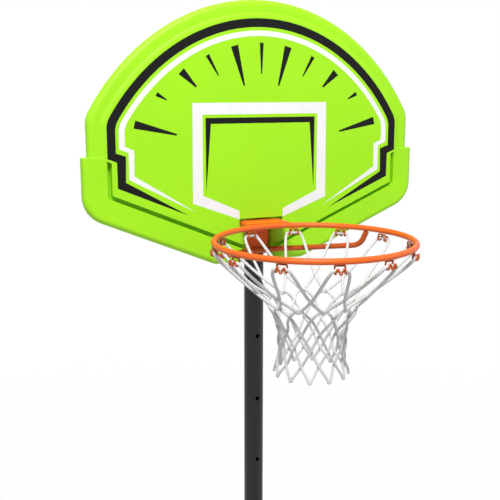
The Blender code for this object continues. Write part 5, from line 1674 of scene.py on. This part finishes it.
@dataclass
class BaseTank:
    """The blow-moulded tank: two tiers run into each other, nose, lugs, grooves and filler neck."""

    at: Anchors
    depth: float = 0.600
    well: float = 0.068
    front_half: float = 0.190
    half_width: float = 0.255
    lower_height: float = 0.070
    height: float = 0.128
    edge: float = 0.012
    top_edge: float = 0.020
    tier_inset: float = 0.030
    nose_half: float = 0.076
    nose_front: float = 0.045
    nose_height: float = 0.112
    groove_plans: tuple[float, ...] = (-0.100, 0.0, 0.100)
    groove_radius: float = 0.012
    lug_offset: float = 0.165
    lug_before_back: float = 0.085
    lug_length: float = 0.050
    lug_thickness: float = 0.026
    lug_rise: float = 0.036
    bolt_rise: float = 0.020
    filler: Flat = (0.140, 0.230)
    neck_radius: float = 0.028
    neck_rise: float = 0.010
    neck_bore: float = 0.0195
    bore_depth: float = 0.060
    pole_foot: float = 0.030
    skin: float = 0.0036

    @property
    def lug_y(self) -> float:
        """The middle of the lugs along the stand."""
        return self.at.pole_y + self.depth - self.lug_before_back

    def plan(self, inset: float) -> list[Flat]:
        """The tank's plan, wider at the back, inset for its upper tier."""
        front = self.at.pole_y + self.well + inset
        back = self.at.pole_y + self.depth - inset
        wide = self.half_width - inset
        half = [(self.front_half - inset, front, 0.050), (wide, front + (back - front) * 0.35, 0.120),
                (wide, back, 0.110)]
        return rounded(mirrored(half), steps=12)

    def body(self) -> Piece:
        """The tank's outer body, its joints run into each other."""
        tank = outline("moulded_tank", [self.plan(0.0)], 0.0, self.lower_height,
                       rounding=self.edge, steps=5)
        tier = outline("tier", [self.plan(self.tier_inset)], 2 * self.edge, self.height,
                       rounding=self.top_edge, steps=6)
        combine(tank, tier, Join.WELD)
        front, back = self.at.pole_y - self.nose_front, self.at.pole_y + self.well + 0.060
        half = [(self.nose_half, front, 0.030), (self.nose_half, back, 0.0)]
        nose = outline("nose", [rounded(mirrored(half), 10)], 0.0, self.nose_height,
                       rounding=self.edge, steps=5)
        combine(tank, nose, Join.WELD)
        low, high = self.height - 0.020, self.height + self.lug_rise
        near, far = self.lug_y - self.lug_length / 2, self.lug_y + self.lug_length / 2
        face = [(near, low, 0.0), (near, high, 0.020), (far, high, 0.020), (far, low, 0.0)]
        for side in (-1, 1):
            middle, half = side * self.lug_offset, self.lug_thickness / 2
            lug = outline("lug", [rounded(face, 8)], middle - half, middle + half, Facing.SIDE)
            combine(tank, lug, Join.WELD)
        for x in self.groove_plans:
            start = self.at.pole_y + self.well + self.tier_inset + 0.075
            end = (self.at.pole_y + self.depth - self.tier_inset - 0.050 if x == 0
                   else self.lug_y - self.lug_length)
            wide = self.groove_radius
            combine(tank, turned("groove", [
                (0.002, -end), (wide * 0.8, -end + 0.004), (wide, -end + 0.012),
                (wide, -start - 0.012), (wide * 0.8, -start - 0.004), (0.002, -start)],
                32, Facing.FRONT, (x, 0.0, self.height + wide * 0.35)))
        neck = turned("neck", [
            (self.neck_radius, self.height - 0.010), (self.neck_radius, self.height + self.neck_rise)],
            48, place=(*self.filler, 0.0))
        combine(tank, neck, Join.WELD)
        melt(tank, self.skin, 5)
        return tank

    def build(self) -> None:
        """Model the tank, cut its bores and dress it."""
        tank = self.body()
        drill(tank, OUTER_POLE + CLEARANCE, self.at.pole(self.pole_foot - CLEARANCE), 0.15, Facing.UP, 72)
        drill(tank, AXLE_RADIUS + CLEARANCE, (-0.1, self.at.pole_y, AXLE_HEIGHT), 0.2, Facing.SIDE)
        neck_top = self.height + self.neck_rise
        drill(tank, self.neck_bore, (*self.filler, neck_top - self.bore_depth), 0.1, Facing.UP, 64)
        for side in (-1, 1):
            start = side * self.lug_offset - 0.030
            drill(tank, BOLT_RADIUS + CLEARANCE, (start, self.lug_y, self.height + self.bolt_rise),
                  0.060, Facing.SIDE)
        dress(tank, BLACK_MOULDING, STAND, "base_tank", angle=50.0)


@dataclass
class Filler:
    """The screw cap of the tank's filler, with its grip ribs, and the rubber seal under it."""

    radius: float = 0.0298
    height: float = 0.012
    ribs: int = 12
    rib_depth: float = 0.0012
    plug_radius: float = 0.0192
    dish_radius: float = 0.021
    dish_depth: float = 0.0035
    bar_half: Flat = (0.019, 0.0035)

    def cap(self) -> None:
        """The ribbed cap with a grip bar across its dished top, and its threaded plug."""
        low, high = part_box("filler_cap")
        x, y, _ = middle_of(low, high)
        foot = high[2] - self.height
        loop: list[Flat] = []
        for step in range(self.ribs * 16):
            angle = 2 * math.pi * (step + 2) / (self.ribs * 16)
            wave = max(-1.0, min(1.0, 1.8 * math.sin(self.ribs * angle)))
            reach = self.radius - self.rib_depth * (0.5 - 0.5 * wave)
            loop.append((x + reach * math.cos(angle), y + reach * math.sin(angle)))
        cap = outline("filler_screw_cap", [loop], foot, high[2], rounding=0.0012, steps=4)
        top, wide = high[2], self.dish_radius
        dish = turned("dish", [
            (wide - 0.002, top - self.dish_depth), (wide, top - self.dish_depth + 0.002),
            (wide + 0.001, top + 0.001)], 72, place=(x, y, 0.0))
        half_long, half_wide = self.bar_half
        bar = block("bar", (x - half_long - 0.01, y - half_wide, top - 2 * self.dish_depth),
                    (x + half_long + 0.01, y + half_wide, top - 0.0006))
        soften(bar, 0.0015, 4)
        combine(dish, bar)
        combine(cap, dish)
        crest, root = self.plug_radius, self.plug_radius - 0.0012
        plug: list[Flat] = [(crest - 0.003, low[2]), (root, low[2] + 0.001)]
        for turn in range(4):
            start = low[2] + 0.002 + turn * 0.004
            plug += [(root, start), (crest, start + 0.001), (crest, start + 0.0016), (root, start + 0.0028)]
        plug.append((root, foot + 0.002))
        combine(cap, turned("plug", plug, 64, place=(x, y, 0.0)), Join.WELD)
        dress(cap, BLACK_FITTING, "filler_cap", "filler_cap")

    def seal(self) -> None:
        """The rubber ring with rounded edges."""
        low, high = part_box("filler_seal")
        x, y, _ = middle_of(low, high)
        outer = (high[0] - low[0]) / 2
        seal = turned("neck_seal", tube_stations(outer, outer - 0.006, low[2], high[2], 0.0006), 72,
                      place=(x, y, 0.0), hollow=True)
        dress(seal, SEAL_RUBBER, STAND, "filler_seal")

    def build(self) -> None:
        """Model and dress the filler's cap and seal."""
        self.cap()
        self.seal()


@dataclass
class Wheels:
    """Two moulded wheels on a steel axle, held by press-on caps."""

    at: Anchors
    radius: float = 0.055
    width: float = 0.030
    web: float = 0.004
    groove_pitch: float = 0.0055
    hub: float = 0.014
    spokes: int = 5
    cap_radius: float = 0.010
    cap_length: float = 0.006
    axle_end: float = 0.004

    def wheel(self, side: int, name: str) -> None:
        """One wheel: grooved tread, web with round windows between ribs, and hub.

        Args:
            side: -1 for the left wheel, 1 for the right.
            name: the CAD node that it stands for.
        """
        low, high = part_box(name)
        x, _, height = middle_of(low, high)
        half, tread = self.width / 2, self.radius
        rim = tread - 0.012
        flank: list[Flat] = [
            (self.hub - 0.001, half), (self.hub, half - 0.001), (self.hub + 0.0015, self.web),
            (rim - 0.001, self.web), (rim, half - 0.002), (rim + 0.001, half - 0.001),
            (tread - 0.004, half - 0.001), (tread - 0.0008, half - 0.004), (tread - 0.0002, half - 0.006)]
        grooves: list[Flat] = []
        for middle in (self.groove_pitch, 0.0, -self.groove_pitch):
            grooves += [(tread, middle + 0.0013), (tread - 0.0015, middle + 0.0009),
                        (tread - 0.0015, middle - 0.0009), (tread, middle - 0.0013)]
        far_flank = [(radius, -across) for radius, across in reversed(flank)]
        bore = AXLE_RADIUS + CLEARANCE
        wheel = turned(f"{name}_moulding", [*flank, *grooves, *far_flank, (bore, -half), (bore, half)],
                       96, Facing.SIDE, (x, self.at.pole_y, height), hollow=True)
        middle = (self.hub + rim) / 2
        window = (rim - self.hub) / 2 - 0.004
        for step in range(self.spokes):
            angle = 2 * math.pi * (step + 0.5) / self.spokes
            drill(wheel, window, (x - half, self.at.pole_y + middle * math.cos(angle),
                                  height + middle * math.sin(angle)), self.width, Facing.SIDE, 36)
        dress(wheel, BLACK_FITTING, f"{'left' if side < 0 else 'right'}_wheel", name)

    def axle(self) -> None:
        """The steel axle with chamfered ends."""
        low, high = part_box("wheel_axle")
        height = middle_of(low, high)[2]
        radius = AXLE_RADIUS
        axle = turned("axle_steel", [
            (radius - 0.0008, low[0]), (radius, low[0] + 0.0008), (radius, high[0] - 0.0008),
            (radius - 0.0008, high[0])], 40, Facing.SIDE, self.at.pole(height))
        dress(axle, ZINC, STAND, "wheel_axle")
        for side, name in ((-1, "axle_cap_left"), (1, "axle_cap_right")):
            start = high[0] - self.axle_end
            outer = start + self.cap_length
            dome = arc((0.0, start + 0.0022), (self.cap_radius, outer - start - 0.0022),
                       0.0, math.pi / 2 - 0.03, 10)
            cap = turned(f"{name}_steel", [
                (self.cap_radius - 0.0005, start), (self.cap_radius, start + 0.0005), *dome], 48)
            drill(cap, AXLE_RADIUS + CLEARANCE, (0.0, 0.0, start - 0.002),
                  high[0] + CLEARANCE - start + 0.002, Facing.UP)
            turn = Matrix.Rotation(side * math.pi / 2, 4, "Y")
            settle(cap, Matrix.Translation(self.at.pole(height)) @ turn)
            dress(cap, BLACK_FITTING, STAND, name)

    def build(self) -> None:
        """Model and dress wheels, axle and caps."""
        self.wheel(-1, "wheel_left")
        self.wheel(1, "wheel_right")
        self.axle()


@dataclass
class Struts:
    """Two round struts whose ends are pressed flat, and their bolts."""

    at: Anchors
    fasteners: Fasteners
    radius: float = 0.0095
    tab: float = 0.003
    tab_half: float = 0.013
    tab_length: float = 0.030
    flatten: float = 0.040
    lug_face: float = 0.152
    lug_thickness: float = 0.026
    lug_y: float = 0.515
    lug_height: float = 0.148
    sides: int = 48

    def strut(self, name: str, side: int) -> None:
        """One strut from the pole's side to the inner face of a lug.

        Args:
            name: the CAD node that it stands for.
            side: -1 for the left strut, 1 for the right.
        """
        pole_y = self.at.pole_y
        start = Vector((side * (OUTER_POLE + CLEARANCE + self.tab / 2), pole_y, STRUT_HEIGHT))
        end = Vector((side * (self.lug_face - CLEARANCE - self.tab / 2), pole_y + self.lug_y,
                      self.lug_height))
        line = (end - start).normalized()
        plane = Vector((0.0, line.y, line.z)).normalized()
        across = Vector((0.0, -plane.z, plane.y))
        flank = (Vector((1.0, 0.0, 0.0)) - line * line.x).normalized()
        reach = self.tab_length / 2
        aside = Vector((side * (self.radius - self.tab / 2), 0.0, 0.0))
        neck_start = start + plane * (reach + self.flatten)
        neck_end = end - plane * (reach + self.flatten)

        def section(middle: Vector, roundness: float, shrink: float = 1.0) -> list[Vector]:
            """One ring of the strut, between flat and round."""
            ring = []
            for step in range(self.sides):
                angle = 2 * math.pi * step / self.sides
                flat_wide = max(-1.0, min(1.0, 1.25 * math.cos(angle))) * self.tab_half * shrink
                flat_thin = max(-1.0, min(1.0, 1.9 * math.sin(angle))) * self.tab / 2
                flat = across * flat_wide + Vector((flat_thin, 0.0, 0.0))
                full = across * self.radius * math.cos(angle) + flank * self.radius * math.sin(angle)
                ring.append(middle + flat.lerp(full, roundness))
            return ring

        def end_tab(middle: Vector, way: float) -> list[list[Vector]]:
            """The rings of a tab's rounded end."""
            shrinks = ((0.955, 0.50), (0.90, 0.70), (0.78, 0.90), (0.60, 1.0))
            return [section(middle + plane * way * reach * along, 0.0, shrink) for along, shrink in shrinks]

        rings = end_tab(start, -1.0)
        shoulder, foot = start + plane * reach, end - plane * reach
        for low, high, first, last, way in ((shoulder, neck_start, 0.0, 1.0, 1),
                                            (neck_end, foot, 1.0, 0.0, -1)):
            for step in range(9):
                share = step / 8
                round_share = first + (last - first) * share * share * (3 - 2 * share)
                rings.append(section(low.lerp(high, share) + aside * way * round_share, round_share))
        rings += reversed(end_tab(end, 1.0))
        strut = bridge(f"{name}_tube", rings)
        for middle in (start, end):
            drill(strut, BOLT_RADIUS + CLEARANCE,
                  (middle.x - 0.01, middle.y, middle.z), 0.02, Facing.SIDE)
        dress(strut, BLACK_TUBE, STAND, name, angle=40.0)

    def bolts(self) -> None:
        """The bolt through the pole and both struts, and one at each lug."""
        pole_y = self.at.pole_y
        half = OUTER_POLE + 2 * CLEARANCE + self.tab
        tail = self.fasteners.nut + 0.003
        self.fasteners.bolt("strut_pole_bolt", (-half, pole_y, STRUT_HEIGHT), 2 * half + tail, STAND)
        self.fasteners.nut_on("strut_pole_nut", (half, pole_y, STRUT_HEIGHT), STAND)
        inner = self.lug_face - 2 * CLEARANCE - self.tab
        outer = self.lug_face + self.lug_thickness + CLEARANCE
        for name, side in (("left", -1), ("right", 1)):
            self.fasteners.bolt(f"strut_bolt_{name}", (side * inner, pole_y + self.lug_y, self.lug_height),
                                outer - inner + tail, STAND, side)
            self.fasteners.nut_on(f"strut_nut_{name}", (side * outer, pole_y + self.lug_y, self.lug_height),
                                  STAND, side)

    def build(self) -> None:
        """Model and dress struts and bolts."""
        self.strut("strut_left", -1)
        self.strut("strut_right", 1)
        self.bolts()


# Studio

@dataclass(frozen=True)
class SoftBox:
    """A square soft lamp that looks at the middle of the stand."""

    name: str
    place: Place
    size: float
    power: float
    aim: Place = (0.0, -0.15, 2.05)

    def hang(self) -> None:
        """Put the lamp in the studio."""
        lamp = bpy.data.lights.new(self.name, "AREA")
        lamp.shape = "SQUARE"
        lamp.size = self.size
        lamp.energy = self.power
        holder = bpy.data.objects.new(self.name, lamp)
        holder.location = self.place
        way = Vector(self.aim) - Vector(self.place)
        holder.rotation_euler = way.to_track_quat("-Z", "Y").to_euler()
        bpy.context.scene.collection.objects.link(holder)


@dataclass
class Studio:
    """Camera, soft lamps, pale floor and a white surround."""

    camera_place: Place = (-0.7571, -1.74735, 2.4262)
    camera_pitch: float = 11.03
    camera_turn: float = -23.81
    lens: float = 59.37
    ambient: float = 0.30
    floor_radius: float = 6.0
    floor_glow: float = 0.97

    def camera(self) -> None:
        """Set up the camera at the photograph's viewing angle."""
        camera = bpy.data.cameras.new("camera")
        camera.lens = self.lens
        camera.sensor_width = 36.0
        camera.clip_start = 0.05
        camera.clip_end = 60.0
        holder = bpy.data.objects.new("camera", camera)
        holder.location = self.camera_place
        holder.rotation_euler = (math.radians(90.0 - self.camera_pitch), 0.0, math.radians(self.camera_turn))
        bpy.context.scene.collection.objects.link(holder)
        bpy.context.scene.camera = holder

    @staticmethod
    def blend(tree: bpy.types.NodeTree, share: Socket, first: Socket, second: Socket) -> Socket:
        """A shader between two others."""
        mix = tree.nodes.new("ShaderNodeMixShader")
        for socket, output in zip(mix.inputs, (share, first, second)):
            tree.links.new(output, socket)
        return mix.outputs[0]

    @staticmethod
    def seen_direct(tree: bpy.types.NodeTree) -> Socket:
        """One for camera, glossy and transmission rays, nought for the rest."""
        path = tree.nodes.new("ShaderNodeLightPath")
        total: Socket = path.outputs["Is Camera Ray"]
        for name in ("Is Glossy Ray", "Is Transmission Ray"):
            add = tree.nodes.new("ShaderNodeMath")
            add.operation = "MAXIMUM"
            tree.links.new(total, add.inputs[0])
            tree.links.new(path.outputs[name], add.inputs[1])
            total = add.outputs["Value"]
        return total

    def surround(self) -> None:
        """A world that looks white and lights softly."""
        world = bpy.data.worlds.new("surround")
        bpy.context.scene.world = world
        world.use_nodes = True
        tree = world.node_tree
        light, white = tree.nodes["Background"], tree.nodes.new("ShaderNodeBackground")
        for background, strength in ((light, self.ambient), (white, 1.0)):
            background.inputs["Strength"].default_value = strength
            background.inputs["Color"].default_value = (1.0, 1.0, 1.0, 1.0)
        sky = self.blend(tree, self.seen_direct(tree), light.outputs[0], white.outputs[0])
        tree.links.new(sky, tree.nodes["World Output"].inputs["Surface"])

    def floor(self) -> None:
        """A pale round floor that keeps the stand's shadow and fades out at its edge."""
        bpy.ops.object.select_all(action="DESELECT")
        bpy.ops.mesh.primitive_circle_add(vertices=96, radius=self.floor_radius, fill_type="NGON",
                                          location=(0.0, 0.0, -0.0005))
        floor = settle(taken("studio_floor"))
        sheet = NodeSheet("studio_floor")
        sheet.shader.inputs["Base Color"].default_value = (0.90, 0.90, 0.90, 1.0)
        sheet.fix("Roughness", 0.9)
        sheet.fix("Specular IOR Level", 0.1)
        tree = sheet.tree
        glow = tree.nodes.new("ShaderNodeEmission")
        share = sheet.calc("MULTIPLY", self.seen_direct(tree), self.floor_glow)
        lit = self.blend(tree, share, sheet.shader.outputs[0], glow.outputs[0])
        distance = sheet.node("ShaderNodeVectorMath", {0: sheet.place()}, operation="LENGTH")
        fade = sheet.span(distance.outputs["Value"], self.floor_radius * 0.35, self.floor_radius * 0.95,
                          0.0, 1.0)
        clear = tree.nodes.new("ShaderNodeBsdfTransparent")
        edge = self.blend(tree, fade, lit, clear.outputs[0])
        tree.links.new(edge, tree.nodes["Material Output"].inputs["Surface"])
        floor.data.materials.append(sheet.material)

    def build(self) -> None:
        """Set up the whole studio."""
        bpy.context.scene.view_settings.view_transform = "Standard"
        self.camera()
        self.surround()
        self.floor()
        SoftBox("key", (-1.2, -2.5, 5.5), 1.4, 230.0).hang()
        SoftBox("fill", (3.0, -2.4, 3.6), 2.0, 18.0).hang()
        SoftBox("back", (0.6, 3.0, 3.6), 2.4, 45.0).hang()


def main() -> None:
    """Build the stand from its sub-assemblies, then the studio round it."""
    logging.basicConfig(level=logging.INFO, format="%(name)s: %(message)s")
    anchors = Anchors.read()
    Backboard(anchors).build()
    BoardPrint(anchors).build()
    Rim(anchors).build()
    Net(anchors).build()
    fasteners = Fasteners()
    Mast(anchors, fasteners).build()
    HeightLock(anchors).build()
    LowerPoles(anchors).build()
    BaseTank(anchors).build()
    Filler().build()
    Wheels(anchors).build()
    Struts(anchors, fasteners).build()
    Studio().build()


if __name__ == "__main__":
    main()
